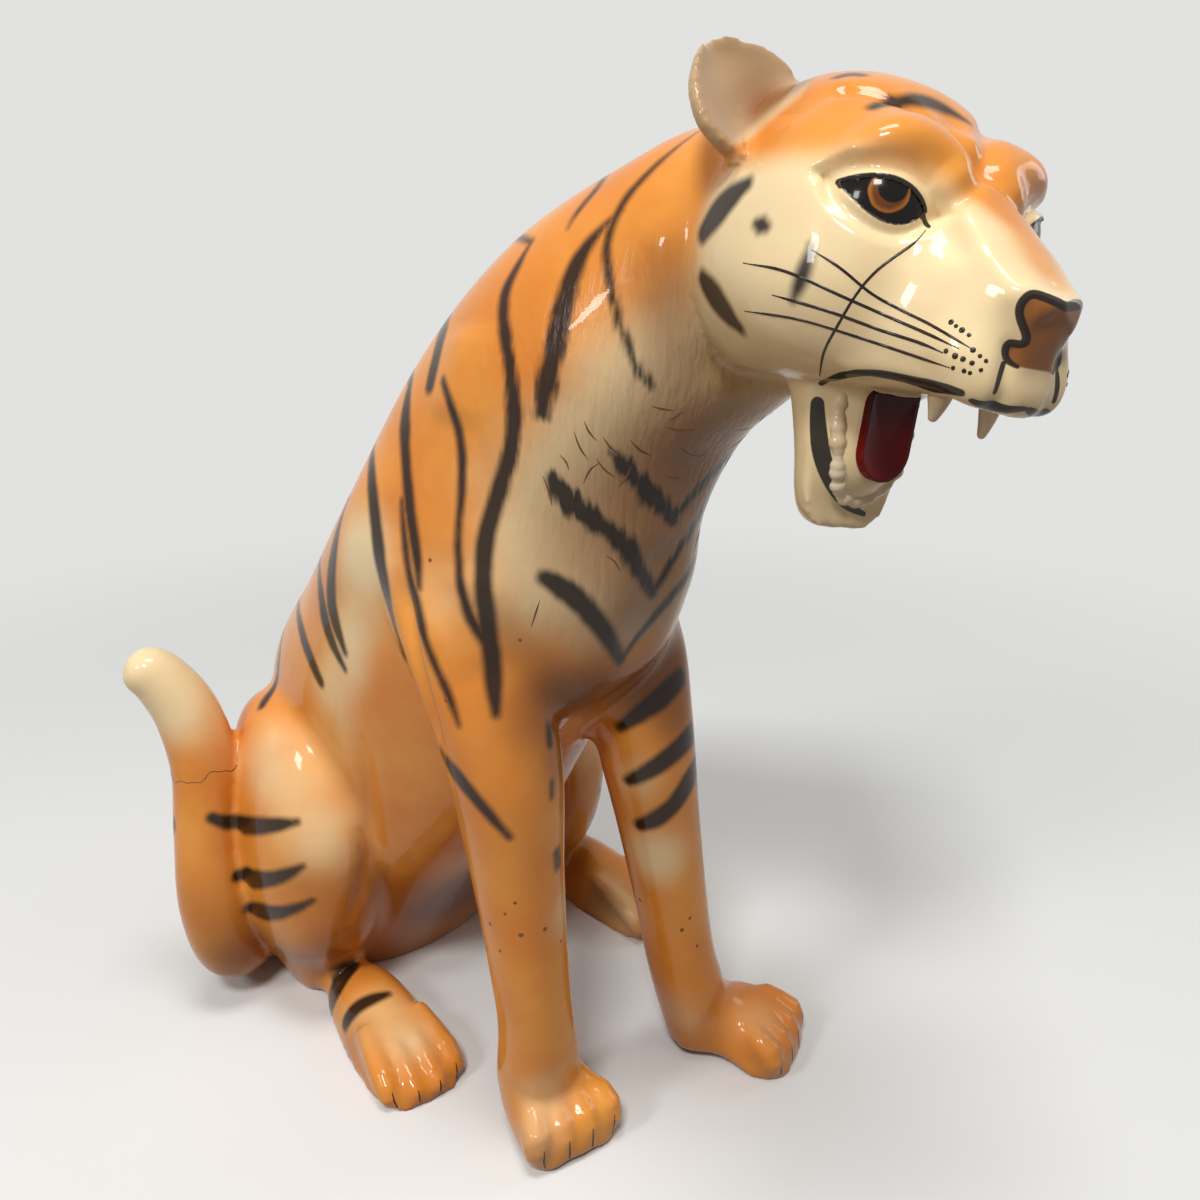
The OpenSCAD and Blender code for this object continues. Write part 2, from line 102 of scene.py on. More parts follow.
RIGHT_HAUNCH = [
    (-104, 150, 0, 0, 0, 26, 44, 46),
    (-106, 144, 40, 0, 0, 42, 54, 60),
    (-112, 130, 90, 0, 0, 56, 74, 76),
    (-112, 128, 150, 0, 0, 62, 92, 84),
    (-108, 130, 215, 0, 0, 60, 96, 84),
    (-97, 144, 276, 0, 0, 49, 76, 62),
    (-88, 148, 300, 0, 0, 20, 30, 26),
]
LEFT_HAUNCH = [(20 - r[0], r[1], r[2], 0, 0, r[5] + 4, r[6] + 12, r[7]) for r in RIGHT_HAUNCH]
# x, y, heading, length, half width and height of each paw
PAWS = {
    "right_foreleg": (-47, -106, -9, 92, 42, 46),
    "left_foreleg": (112, -148, 22, 98, 39, 42),
    "right_hind_leg": (-95, 110, -7, 180, 38, 34),
    "left_hind_leg": (178, 160, 3, 205, 36, 42),
}
LIMBS = {
    "right_foreleg": RIGHT_FORELEG,
    "left_foreleg": LEFT_FORELEG,
    "right_hind_leg": RIGHT_HAUNCH,
    "left_hind_leg": LEFT_HAUNCH,
}
# Share of the length, half width and height along a paw
PAW_PROFILE = [
    (0, 0.5, 0.55),
    (0.08, 0.7, 0.95),
    (0.3, 0.88, 1.3),
    (0.55, 1, 1.2),
    (0.8, 0.98, 0.82),
    (0.95, 0.8, 0.5),
    (1, 0.42, 0.3),
]
PAW_ROUNDNESS = 2.4
TOE_COUNT = 4
# Radius and spacing of the toes, and spacing of the claw lines, as shares of the paw's half width
TOE_R, TOE_GAP, CLAW_GAP = 0.27, 0.5, 0.51
# x, y, z and radius along the tail, with the break at TAIL_BREAK
TAIL = [
    (0, 196, 44, 30),
    (-66, 226, 36, 31),
    (-132, 212, 34, 31),
    (-176, 172, 52, 31),
    (-190, 162, 110, 32),
    (-186, 166, 180, 30),
    (-180, 170, 240, 29),
    (-186, 180, 290, 27),
    (-200, 190, 322, 24),
    (-215, 197, 337, 20),
    (-223, 201, 344, 10),
]
TAIL_BREAK = 6

# The head's own frame: x to its left, y backwards, z up
HEAD_AT = np.array([50.0, -318.0, 672.0])
HEAD_TURN, HEAD_NOD, HEAD_LEAN = 14.0, 2.0, 10.0
PALATE_Z = -70.0
JAW_FRONT = -38.0
JAW_DROP = 80.0
# y, top, bottom, half width, level and roundness of each oval of the skull
SKULL = [
    (55, 95, -78, 82, 0, 2.1),
    (20, 96, -78, 85, -4, 2.2),
    (-15, 87, -78, 83, -8, 2.3),
    (-40, 69, -76, 77, -8, 2.3),
    (-58, 58, -75, 66, -14, 2.3),
    (-75, 34, -75, 50, -30, 2.4),
    (-92, 18, -75, 40, -40, 2.5),
    (-108, 4, -74, 34, -45, 2.5),
    (-118, -8, -70, 27, -44, 2.4),
    (-125, -22, -60, 14, -42, 2.2),
]
# x, y, z, reach and height of the soft forms of the face
FACE_FORMS = [
    (44, -52, 48, 20, 7),
    (52, -60, 19, 16, -4),
    (66, -20, -36, 32, 5),
    (19, -108, -54, 16, 7),
    (30, -80, 4, 15, -6),
    (0, -50, 70, 13, -6),
    (0, -74, 34, 12, 2),
    (56, -42, -22, 22, 3),
    (11, -122, -22, 12, 9),
    (0, -126, -32, 11, 7),
]
# The line inside the skull that the soft forms are pushed away from: how far behind, its end and its height
CORE_BEHIND, CORE_END, CORE_Z = 40.0, 20.0, -10.0
# Share of the drop, half width, front and back of each oval of the lower jaw
JAW = [
    (1, 16, -38, 2),
    (0.92, 25, -47, 7),
    (0.75, 31, -54, 10),
    (0.5, 34, -56, 13),
    (0.19, 37, -58, 21),
    (0, 39, -58, 28),
]
JAW_ROUNDNESS = 2.4
LINING_HALF_W, LINING_DROP, LINING_T = 17.0, 49.6, 4.0
JAW_SLOPE_W = 18.0
# How far the jaw runs up into the head, the dish in the front of the lining, its root and its shaded height
JAW_ROOT = 14.0
LINING_DISH, LINING_ROOT, LINING_SHADE = 3.2, 6.0, 34.0
TOOTH_R, TEETH_HALF_W, TEETH_DROP = 6.5, 25.0, 62.4
TOOTH_ROOT = 2.6
# Grid in metres that joins the lumps of the teeth
TEETH_GRAIN = 0.0009
FANG_AT = (18.0, -90.0)
FANG_R, FANG_ROOT = 6.0, 7.0
FANG_LENGTHS = {"left_fang": 18.0, "right_fang": 12.6}
# Share of the length, bend backwards in mm and share of the radius along a fang
FANG_PROFILE = [
    (0.35, 0.5, 0.8),
    (0.65, 1.2, 0.58),
    (0.88, 2.0, 0.4),
    (0.97, 2.3, 0.26),
    (1.0, 2.4, 0.08),
]
EYE_AT = np.array([53.0, -61.0, 20.0])
EYE_OUT, EYE_UP, EYE_SLANT = 39.0, 10.0, 12.0
EYE_HALF_W, EYE_SINK, EYE_BALL_R, EYE_STAND = 22.0, 14.0, 30.0, 4.0
# Height of the opening between the lids above and below the line of its corners
LID_TOP, LID_LOW = 6.2, 12.0
# How far the fullest place of the opening lies towards the nose, as a share of its half width
LID_SKEW = 0.28
# Gaps outside the opening over which the lids sink into the face and the face follows them
LID_FADE, LID_PULL = (2.0, 8.0), (3.0, 13.0)
CREASE_AT, CREASE_REACH = 6.5, 2.0
SOCKET_DEPTH, SOCKET_EDGE = 5.0, (-0.2, 1.0)
LID_ROOM, LID_DEPTH = 16.0, 30.0
# Lash line: how far outside the opening, how far over the ball, half width below, and more above
LASH_OUT, LASH_LIFT, LASH_R, LASH_MORE = 0.5, 1.2, 0.9, 0.5
# How far an eye reaches under its lids, and the black on the edge of the lids
EYE_UNDER, LID_EDGE = 1.5, 0.7
EYE_ROOM = (30, 20, 14)
# The near iris in the photograph, and its pupil's place beside the iris's middle
IRIS_PLACE = (889, 193)
PUPIL_LIFT = np.array([-1.0, 2.2])
EAR_ROOT = np.array([49.0, 36.0, 58.0])
EAR_UP = np.array([0.64, 0.37, 0.67])
EAR_ACROSS = np.array([0.76, -0.41, -0.5])
EAR_H = 62.0
# Share of the height, half width and half depth of each oval of an ear
EAR = [
    (0, 42, 16),
    (0.25, 50, 14),
    (0.5, 50, 12),
    (0.75, 38, 11),
    (0.92, 21, 9.5),
    (1, 7, 8),
]
EAR_WALL = 7.0
EAR_ROLL = 6.0

# Where the photograph was taken from, in the statue's frame, and its frame in pixels
CAMERA_AT = np.array([-473.0, -681.0, 688.0])
CAMERA_AZIMUTH, CAMERA_ELEVATION = -41.6, 19.4
PHOTO_SIZE = 1200
FOCAL_PX = 1062.0

# Brushed stripes as places in the photograph, each with its half width there
STRIPES = {
    "neck_long": [
        (699, 131, 1), (665, 157, 2), (635, 187, 3), (620, 208, 3.5), (611, 228, 4), (606, 250, 4.5),
        (609, 275, 5), (615, 304, 5), (624, 336, 5), (636, 366, 5.5), (652, 388, 3),
    ],
    "neck_far": [(612, 172, 1.5), (596, 190, 3), (575, 215, 2), (568, 228, 1)],
    "shoulder_thick": [
        (622, 210, 2), (604, 226, 3.5), (586, 247, 6), (573, 272, 8.5), (563, 310, 10.5), (555, 345, 11),
        (547, 381, 11.5), (541, 412, 9),
    ],
    "shoulder_long": [
        (531, 242, 1.5), (516, 269, 3), (506, 289, 4.5), (503, 314, 5.5), (506, 340, 6), (511, 375, 7),
        (514, 412, 8), (511, 451, 9), (500, 488, 9.5), (488, 527, 9.5), (483, 559, 9.5),
        (484, 594, 9.5), (488, 631, 10), (492, 655, 10), (494, 686, 9), (496, 714, 5),
    ],
    "back_first": [(453, 302, 3), (444, 328, 6), (437, 355, 6), (430, 385, 5)],
    "side_long": [
        (443, 380, 2.5), (452, 408, 4), (461, 441, 4.5), (462, 471, 4.5), (461, 502, 4), (458, 533, 4),
        (459, 573, 4.5), (463, 596, 5), (471, 620, 6), (484, 641, 6),
    ],
    "side_back": [
        (410, 384, 3), (405, 416, 5), (406, 461, 5), (409, 498, 5.5), (412, 527, 5.5), (417, 555, 5),
        (419, 588, 3),
    ],
    "leg_edge": [
        (402, 500, 2), (404, 535, 3.5), (409, 573, 3.5), (417, 610, 4), (424, 638, 3.5), (435, 665, 4),
        (449, 696, 4), (459, 725, 2.5),
    ],
    "flank_first": [(373, 448, 3), (373, 490, 5), (378, 545, 6), (388, 600, 5.5), (405, 655, 4)],
    "flank_second": [(346, 498, 3), (337, 535, 5), (331, 575, 6), (332, 612, 5.5), (345, 652, 2.5)],
    "flank_third": [(321, 556, 2.5), (321, 595, 4.5), (329, 636, 4.5), (345, 669, 2)],
    "flank_fourth": [(299, 600, 2), (304, 640, 4.5), (321, 682, 3.5)],
    "flank_fifth": [(282, 632, 2.5), (278, 670, 4), (262, 706, 2.5)],
    "haunch_first": [(212, 818, 6), (235, 825, 8.5), (265, 826, 9), (297, 822, 4)],
    "haunch_second": [(237, 876, 6), (262, 880, 8), (285, 875, 7), (303, 866, 3)],
    "haunch_third": [(251, 909, 4), (275, 913, 6.5), (297, 908, 5), (313, 900, 2.5)],
    "foreleg_outer": [(442, 753, 3), (456, 774, 5.5), (484, 808, 6), (509, 837, 4)],
    "cheek_top": [(747, 184, 5), (730, 198, 8.5), (716, 214, 9), (704, 232, 6)],
    "cheek_round": [(756, 223, 6), (761, 225, 10), (766, 227, 6)],
    "cheek_low": [(703, 279, 5), (712, 294, 8.5), (726, 312, 8.5), (739, 327, 5)],
    "under_eye": [(811, 246, 4), (806, 265, 7.5), (799, 285, 7), (793, 300, 3)],
}
# Stripes of the chest: each meets its twin in a point at the end of the list
CHEST_STRIPES = {
    "chest_top": [(612, 452, 5), (635, 478, 10), (651, 496, 11), (674, 518, 9)],
    "chest_middle": [
        (553, 480, 7), (563, 495, 12), (584, 513, 11), (604, 527, 10.5), (624, 544, 10), (639, 569, 8),
        (652, 594, 5),
    ],
    "chest_low": [(545, 578, 8), (563, 588, 12), (584, 606, 11), (604, 631, 10), (621, 660, 6)],
}
# Marks that only one side has
LONE_MARKS = {
    "forehead": [(874, 107, 3.5), (892, 103, 6), (915, 100, 6), (942, 106, 5), (968, 122, 2)],
    "crown": [(838, 77, 3), (850, 74, 5), (862, 75, 3)],
    "foreleg_inner_top": [(549, 727, 3), (550, 743, 3)],
    "foreleg_inner_middle": [(552, 782, 2), (552, 797, 2)],
    "foreleg_inner_low": [(557, 852, 3), (558, 866, 3)],
    "far_leg_first": [(620, 727, 6), (640, 713, 10), (662, 697, 11), (680, 678, 8)],
    "far_leg_second": [(628, 781, 6), (650, 770, 9), (675, 752, 9), (692, 733, 6)],
    "far_leg_third": [(640, 825, 7), (660, 817, 9), (680, 797, 8), (695, 767, 6)],
    "hock_first": [(354, 966, 5), (341, 981, 8), (330, 1004, 6)],
    "hock_second": [(345, 1024, 4), (355, 1009, 6), (370, 1000, 6), (388, 994, 3)],
    "tail_spot": [(173, 822, 5), (173, 838, 5)],
}
# Black bands of the face with sharper edges, as places with their half widths
FACE_BANDS = {
    "nose_edge": [
        (1066, 307, 4.5), (1056, 301, 4.5), (1046, 297, 4.5), (1037, 294, 4.5), (1029, 295, 4.5),
        (1022, 302, 4.5), (1019, 311, 4.5), (1021, 321, 4.5), (1025, 331, 4.5), (1027, 339, 4.5),
        (1024, 344, 4), (1016, 344, 4), (1009, 343, 4), (1005, 349, 4), (1005, 356, 3.5),
        (1010, 363, 3), (1018, 367, 2),
    ],
    "philtrum": [(1003, 364, 2.5), (1000, 374, 2.5), (995, 392, 2)],
    "lip": [
        (821, 384, 2), (834, 378, 2.5), (850, 374, 3), (868, 373, 3), (884, 375, 3.5), (900, 378, 3.5),
        (918, 383, 4), (931, 387, 4.5), (946, 389, 4.5), (961, 393, 3.5),
    ],
    "front_lip": [(972, 401, 2.5), (990, 407, 4), (1008, 410, 3.5), (1024, 409, 2)],
    "eye_outer": [(836, 183, 1.5), (842, 186, 2.5)],
    "eye_inner": [(918, 212, 2.5), (924, 219, 2.5), (929, 227, 2)],
    "jaw_lip": [
        (817, 404, 7), (817, 418, 8), (819, 440, 9), (823, 460, 9), (831, 482, 7.5), (842, 500, 5.5),
        (853, 509, 4), (864, 514, 2.5),
    ],
}
# Thin painted lines as half width in mm and places in the photograph
HEAD_LINES = {
    "tear_line": (0.75, [
        (926, 230), (914, 243), (880, 268), (858, 292), (838, 325), (824, 352), (819, 380),
    ]),
    "whisker_top": (0.8, [(812, 250), (840, 268), (872, 294), (905, 312), (931, 325), (972, 349)]),
    "whisker_second": (0.85, [(743, 263), (787, 272), (850, 300), (905, 324), (930, 335), (959, 349)]),
    "whisker_third": (0.85, [(772, 295), (830, 312), (880, 330), (920, 343), (943, 353)]),
    "whisker_low": (0.8, [(744, 311), (800, 320), (860, 338), (920, 358), (950, 368)]),
}
# Rows of whisker dots on the muzzle
WHISKER_DOTS = [
    (951, 322), (956, 326), (962, 330), (969, 335), (973, 350), (980, 356), (986, 361), (946, 351),
    (955, 356), (963, 359), (972, 363), (953, 368), (964, 371), (970, 373), (981, 370),
]
# Short brown hairs on throat and chest
HAIR_LINES = [
    [(651, 406), (662, 409), (674, 410)], [(665, 427), (680, 430), (694, 430)],
    [(668, 421), (676, 416), (684, 411)], [(680, 448), (692, 455), (703, 456), (707, 449)],
    [(665, 476), (676, 478), (687, 477)], [(574, 431), (579, 446), (588, 460)],
    [(584, 421), (589, 432), (597, 441)], [(596, 459), (605, 470), (616, 478)],
    [(560, 455), (566, 462), (569, 470)], [(603, 437), (610, 447), (620, 455)],
    [(630, 440), (640, 450), (652, 456)], [(543, 476), (549, 492), (552, 506)],
    [(606, 556), (614, 561), (621, 572)], [(540, 600), (536, 612), (531, 628)],
    [(618, 488), (626, 478), (631, 466)], [(583, 484), (590, 470), (600, 462)],
]
# Least room between a hair and its twin, and how far the twins' middle lies beside the body's
HAIR_ROOM, HAIR_SHIFT = 30.0, 16.0
# Brown specks from the firing
SPECKS = [
    (490, 924), (505, 914), (521, 935), (545, 929), (500, 951), (561, 941), (515, 903), (682, 930),
    (690, 918), (697, 946), (430, 560), (446, 700), (520, 640), (640, 900),
]

# Airbrushed clouds, and clouds of painted shade, as place in the photograph, reach in mm and strength
CREAM_CLOUDS = [
    (300, 790, 55, 0.5), (330, 850, 40, 0.4), (262, 750, 40, 0.3), (362, 555, 42, 0.85),
    (350, 640, 40, 0.7), (330, 690, 40, 0.5), (560, 560, 62, 0.8), (600, 520, 60, 0.8),
    (650, 560, 50, 0.8), (680, 480, 60, 0.85), (690, 380, 52, 0.85), (730, 410, 45, 0.9),
    (640, 440, 50, 0.8), (655, 860, 30, 0.75), (640, 780, 26, 0.5), (370, 1010, 40, 0.45),
    (410, 1040, 30, 0.45), (205, 700, 45, 0.45), (150, 662, 48, 1.0), (165, 690, 42, 0.7),
    (548, 1090, 34, 0.4), (760, 1020, 30, 0.35), (430, 590, 30, 0.25), (480, 760, 30, 0.2),
]
# Brown clouds: a brown wash sprayed into hollows, and painted shade on chest, belly, armpits and upper legs
# where shade falls
BROWN_AND_SHADE_CLOUDS = [
    (452, 650, 34, 0.3), (520, 722, 32, 0.4), (302, 884, 28, 0.35), (440, 905, 55, 0.75),
    (470, 880, 40, 0.6), (380, 880, 45, 0.4), (590, 695, 34, 0.6), (555, 690, 30, 0.5),
    (640, 680, 26, 0.3), (668, 272, 34, 0.45), (690, 320, 30, 0.25), (560, 380, 26, 0.25),
    (235, 955, 45, 0.6), (300, 960, 34, 0.5), (195, 900, 30, 0.3), (335, 945, 30, 0.5),
    (560, 770, 30, 0.5), (600, 900, 30, 0.4), (500, 640, 26, 0.3), (540, 1150, 20, 0.25),
    (400, 1090, 16, 0.25), (760, 1065, 16, 0.25), (745, 95, 26, 0.45), (775, 110, 22, 0.45),
    (705, 60, 18, 0.3), (560, 555, 60, 0.35), (610, 520, 60, 0.35), (650, 480, 50, 0.4),
    (690, 420, 50, 0.35), (640, 600, 45, 0.4), (770, 350, 26, 0.25), (690, 350, 36, 0.3),
    (540, 715, 26, 0.4), (560, 750, 24, 0.4),
]

# Where strokes of fur are worked into the clay, in the same measures
FUR_CLOUDS = [
    (600, 430, 60, 0.9), (650, 480, 55, 0.9), (560, 480, 50, 0.8), (640, 380, 45, 0.8),
    (690, 400, 45, 0.7), (640, 280, 50, 0.6), (530, 350, 55, 0.5), (600, 560, 55, 0.7),
    (480, 420, 60, 0.35), (390, 470, 60, 0.3),
]

# Folds of the face as reach, height in mm and places in the photograph
FACE_FOLDS = {
    "brow": (11, 4.5, [(858, 150), (888, 138), (922, 139), (950, 154), (962, 176)]),
    "brow_groove": (6, -4.0, [(986, 128), (989, 150), (984, 170), (968, 190), (952, 205)]),
    "bridge_edge": (7, 2.4, [(962, 214), (988, 256), (1012, 290)]),
    "eye_corner": (8, -2.5, [(938, 206), (946, 226), (958, 246)]),
    "lid_crease": (3.5, -1.8, [(815, 172), (845, 161), (880, 156), (908, 162), (926, 182)]),
    "cheek_hollow": (14, -2.5, [(905, 262), (885, 300), (866, 335)]),
    "muzzle_pad": (13, 2.6, [(945, 345), (966, 362), (984, 376)]),
    "philtrum": (5, -2.2, [(1009, 352), (1002, 372), (996, 394)]),
    "nose_top": (5, 1.6, [(1030, 293), (1050, 299), (1072, 310)]),
    "lip_edge": (6, 1.4, [(850, 368), (890, 370), (930, 381), (962, 390)]),
    "front_lip": (10, 3.4, [(985, 396), (1006, 402), (1026, 400)]),
    "ear_root": (9, -1.6, [(716, 168), (760, 138), (815, 100)]),
}
# Folds of the body, in the same measures
BODY_FOLDS = {
    "behind_arm": (8, -6.0, [(400, 560), (407, 620), (417, 672), (432, 722), (446, 766)]),
    "before_haunch": (9, -3.5, [(352, 715), (366, 770), (370, 830), (362, 890), (340, 940)]),
    "shoulder_blade": (22, 3.5, [(470, 318), (458, 370), (450, 430)]),
    "arm_muscle": (20, 3.0, [(470, 560), (474, 620), (486, 680)]),
    "chest_middle": (16, -3.0, [(668, 530), (664, 600), (640, 668)]),
    "neck_ruff": (16, 3.0, [(668, 200), (672, 260), (690, 322), (722, 366)]),
}

# Stripes that run on from their upper end towards the spine
OVER_BACK = (
    "shoulder_long", "back_first", "side_back",
    "flank_first", "flank_second", "flank_third", "flank_fourth",
)
# Where such a stripe heads for, the share of that way that it runs, and its least half width
SPINE_BACK, SPINE_UP, SPINE_SHARE, SPINE_BRUSH = 220.0, 120.0, 0.8, 2.5
# Share of a chest stripe's width that its twin beyond the middle has
FAR_CHEST_BRUSH = 0.6
# Rounds that even out a stroke, and the least and most that the skin's slant widens it
STROKE_ROUNDS, THIN_STROKE, WIDE_STROKE = 10, 0.8, 2.0
# How far from a stroke its edge is measured, and the distance that stands for bare skin
STROKE_ROOM, FAR = 30.0, 40.0
# Room for paint between the skin and the part's box
PAINT_ROOM = 0.9
# The head's own middle plane is used in front of this y of its frame, and the body's behind it
HEAD_BACK = 60.0

NODES = [
    "torso", "head", "lower_jaw", "left_ear", "right_ear", "left_foreleg",
    "right_foreleg", "left_hind_leg", "right_hind_leg", "tail", "tail_tip",
]
# How far and how often the clay is smoothed where two kinds of form meet
SEAM_BLENDS = {
    ("core", "limb"): (15, 90),
    ("core", "haunch"): (8, 45),
    ("core", "paw"): (4, 20),
    ("core", "tail"): (6, 25),
    ("core", "ear"): (6, 30),
    ("core", "jaw"): (5, 24),
    ("limb", "paw"): (16, 200),
    ("haunch", "paw"): (10, 80),
    ("paw", "toe"): (5, 32),
    ("toe", "toe"): (3, 8),
}
OTHER_BLEND = (3, 8)
SLOTS = {"lower_jaw": "cream_glaze", "left_ear": "cream_glaze", "right_ear": "cream_glaze"}
WHOLE_SKIN = "whole_skin"
# Rounds of polish before and after the seams are blended, and on the finer head
FIRST_POLISH, LAST_POLISH, HEAD_POLISH = 4, 6, 6
TIP_REACH, TIP_ROUNDS = 20.0, 40
# Edge steps, rounds and polish that soften the ears, and edge steps, pull and rounds that soften the jaw
EAR_RINGS, EAR_ROUNDS, EAR_POLISH = 4, 18, 40
JAW_RINGS, JAW_PULL, JAW_ROUNDS = 3, 0.45, 10
# Middle of a cap: places tried, their depths under the skin, and the shares of its spokes probed
CAP_SINK, CAP_TRIES, CAP_DEPTHS = 10, 14, (8, 16, 26)
CAP_SPOKES, CAP_PROBES, CAP_ROOM = 50, (0.5, 0.8, 0.93), 0.1

# Place, width and height in metres and share of the power of each lamp
LAMPS = {
    "key": ((-2.1, -1.5, 3.9), (0.9, 0.7), 11.5),
    "window": ((-2.0, 0.1, 1.7), (0.4, 0.5), 1.9),
    "ceiling": ((-0.3, -0.4, 3.6), (1.2, 0.8), 6.5),
    "side": ((2.0, -0.9, 1.3), (0.7, 1.1), 0.8),
}
LAMP_TARGET = (0, 0, 0.42)
FLOOR_HALF = 8.0
# Distances from the middle over which the floor fades into the backdrop
FLOOR_FADE = (0.55, 1.9)
SENSOR_W = 36.0


# Shapes

def smooth_rows(rows, steps):
    """Rows on a curve through the stations."""
    rows = np.asarray(rows, float)
    padded = np.vstack([2 * rows[:1] - rows[1:2], rows, 2 * rows[-1:] - rows[-2:-1]])
    out = []
    for i in range(len(rows) - 1):
        a, b, c, d = padded[i : i + 4]
        for k in range(steps):
            t = k / steps
            out.append(
                0.5 * (2 * b + (c - a) * t + (2 * a - 5 * b + 4 * c - d) * t**2
                       + (3 * b - a - 3 * c + d) * t**3)
            )
    out.append(rows[-1])
    return np.array(out)


def squared(value, roundness):
    return np.sign(value) * np.abs(value) ** (2 / roundness)


def turns(sides):
    return np.arange(sides) * 2 * math.pi / sides


def unit(v):
    v = np.asarray(v, float)
    return v / np.linalg.norm(v, axis=-1, keepdims=True)


def turn_matrix(axis, degrees):
    c, s = math.cos(math.radians(degrees)), math.sin(math.radians(degrees))
    return np.array({
        "x": [[1, 0, 0], [0, c, -s], [0, s, c]],
        "y": [[c, 0, s], [0, 1, 0], [-s, 0, c]],
        "z": [[c, -s, 0], [s, c, 0], [0, 0, 1]],
    }[axis])


HEAD_BASIS = turn_matrix("z", -HEAD_TURN) @ turn_matrix("x", -HEAD_NOD) @ turn_matrix("y", HEAD_LEAN)
EYE_BASIS = turn_matrix("z", EYE_OUT) @ turn_matrix("x", 90 - EYE_UP) @ turn_matrix("z", EYE_SLANT)
EAR_AXES = (unit(EAR_UP), unit(EAR_ACROSS), unit(np.cross(EAR_UP, EAR_ACROSS)))
MIRROR = np.array([-1.0, 1.0, 1.0])


def head_to_statue(points):
    return HEAD_AT + np.asarray(points, float) @ HEAD_BASIS.T


def statue_to_head(points):
    return (np.asarray(points, float) - HEAD_AT) @ HEAD_BASIS


def head_to_eye(points, side):
    points = points * MIRROR if side < 0 else points
    return (points - EYE_AT) @ EYE_BASIS


def eye_to_head(points, side):
    points = EYE_AT + points @ EYE_BASIS.T
    return points * MIRROR if side < 0 else points


def oval_rings(rows, sides, steps):
    a = turns(sides)
    out = []
    for x, y, z, tilt, turn, half_w, front, back in smooth_rows(rows, steps):
        tilt, turn = math.radians(tilt), math.radians(turn)
        across = np.array([math.cos(turn), math.sin(turn), 0])
        level = np.array([-math.sin(turn), math.cos(turn), 0])
        along = math.cos(tilt) * level + np.array([0, 0, math.sin(tilt)])
        depth = np.where(np.sin(a) < 0, front, back) * squared(np.sin(a), BODY_ROUNDNESS)
        wide = half_w * squared(np.cos(a), BODY_ROUNDNESS)
        out.append(np.array([x, y, z]) + wide[:, None] * across + depth[:, None] * along)
    return np.array(out)


def formed(points):
    """Points of the skull moved by the soft forms of the face."""
    core = np.zeros_like(points)
    core[:, 1] = np.minimum(points[:, 1] + CORE_BEHIND, CORE_END)
    core[:, 2] = CORE_Z
    lift = np.zeros(len(points))
    for x, y, z, reach, height in FACE_FORMS:
        for side in [1] if x == 0 else [1, -1]:
            gap = points - np.array([side * x, y, z])
            lift += height * np.exp(-(gap**2).sum(1) / reach**2)
    moved = points + lift[:, None] * unit(points - core)
    moved[:, 2] = np.maximum(moved[:, 2], PALATE_Z)
    return moved


def skull_rings(sides, steps):
    a = turns(sides)
    out = []
    for y, top, bottom, half_w, level, roundness in smooth_rows(SKULL, steps):
        depth = np.where(np.sin(a) < 0, level - bottom, top - level)
        ring = np.stack([
            half_w * squared(np.cos(a), roundness),
            np.full(sides, y),
            level + depth * squared(np.sin(a), roundness),
        ], 1)
        out.append(head_to_statue(formed(ring)))
    return np.array(out)


def neck_rings(torso, skull, steps):
    """Rings that carry the neck over into the skull."""
    first, last = torso[-1], skull[0]
    keys = np.stack([torso[-1 - steps], first, (first + last) / 2, last, skull[steps]])
    flat = smooth_rows(keys.reshape(5, -1), steps)
    return flat.reshape(-1, *first.shape)[steps + 1 : 3 * steps]


def tube_rings(course, steps, sides):
    rows = smooth_rows(course, steps)
    a = turns(sides)
    out = []
    for i, row in enumerate(rows):
        step = rows[min(i + 1, len(rows) - 1)] - rows[max(i - 1, 0)]
        along = unit(step[:3])
        across = np.cross([0, 1, 0], along)
        if np.linalg.norm(across) < 0.2:
            across = np.cross([1, 0, 0], along)
        across = unit(across)
        over = np.cross(along, across)
        out.append(row[:3] + row[3] * (np.cos(a)[:, None] * across + np.sin(a)[:, None] * over))
    return np.array(out)


def round_ended(course):
    """A course of x, y, z and radius with a rounded end at both ends."""
    course = [np.asarray(row, float) for row in course]
    out = []
    for end, inner in ((course[0], course[1]), (course[-1], course[-2])):
        away = unit(end[:3] - inner[:3])
        cap = [
            np.append(end[:3] + away * end[3] * s, end[3] * c)
            for s, c in ((0.98, 0.12), (0.9, 0.42), (0.7, 0.7), (0.4, 0.91))
        ]
        out.append(cap)
    return out[0] + course + out[1][::-1]


def toe_reaches(length):
    """Place of each toe beside the paw's middle, in toes, and how far it reaches forwards."""
    offs = [i - (TOE_COUNT - 1) / 2 for i in range(TOE_COUNT)]
    return [(off, length * (1.04 - 0.05 * abs(off))) for off in offs]


def paw_shapes(place):
    """Rings of a paw and of each of its toes."""
    x, y, heading, length, half_w, height = place
    a = np.linspace(0, math.pi, 25)
    basis = turn_matrix("z", heading)
    pad = []
    for share, wide, high in smooth_rows(PAW_PROFILE, 5):
        pad.append(np.stack([
            wide * half_w * squared(np.cos(a), PAW_ROUNDNESS),
            np.full(len(a), -share * length),
            high * height * squared(np.sin(a), PAW_ROUNDNESS),
        ], 1))
    shapes = [("paw", np.array(pad))]
    toe_r = TOE_R * half_w
    for off, reach in toe_reaches(length):
        side = TOE_GAP * off * half_w
        course = round_ended([
            (0.85 * side, -0.6 * length, 0.86 * height, toe_r),
            (side, -0.84 * length, 0.6 * height, 1.08 * toe_r),
            (1.02 * side, toe_r - reach, 0.3 * height, 0.95 * toe_r),
        ])
        shapes.append(("toe", tube_rings(course, 2, 20)))
    return [(kind, rings @ basis.T + np.array([x, y, 0])) for kind, rings in shapes]


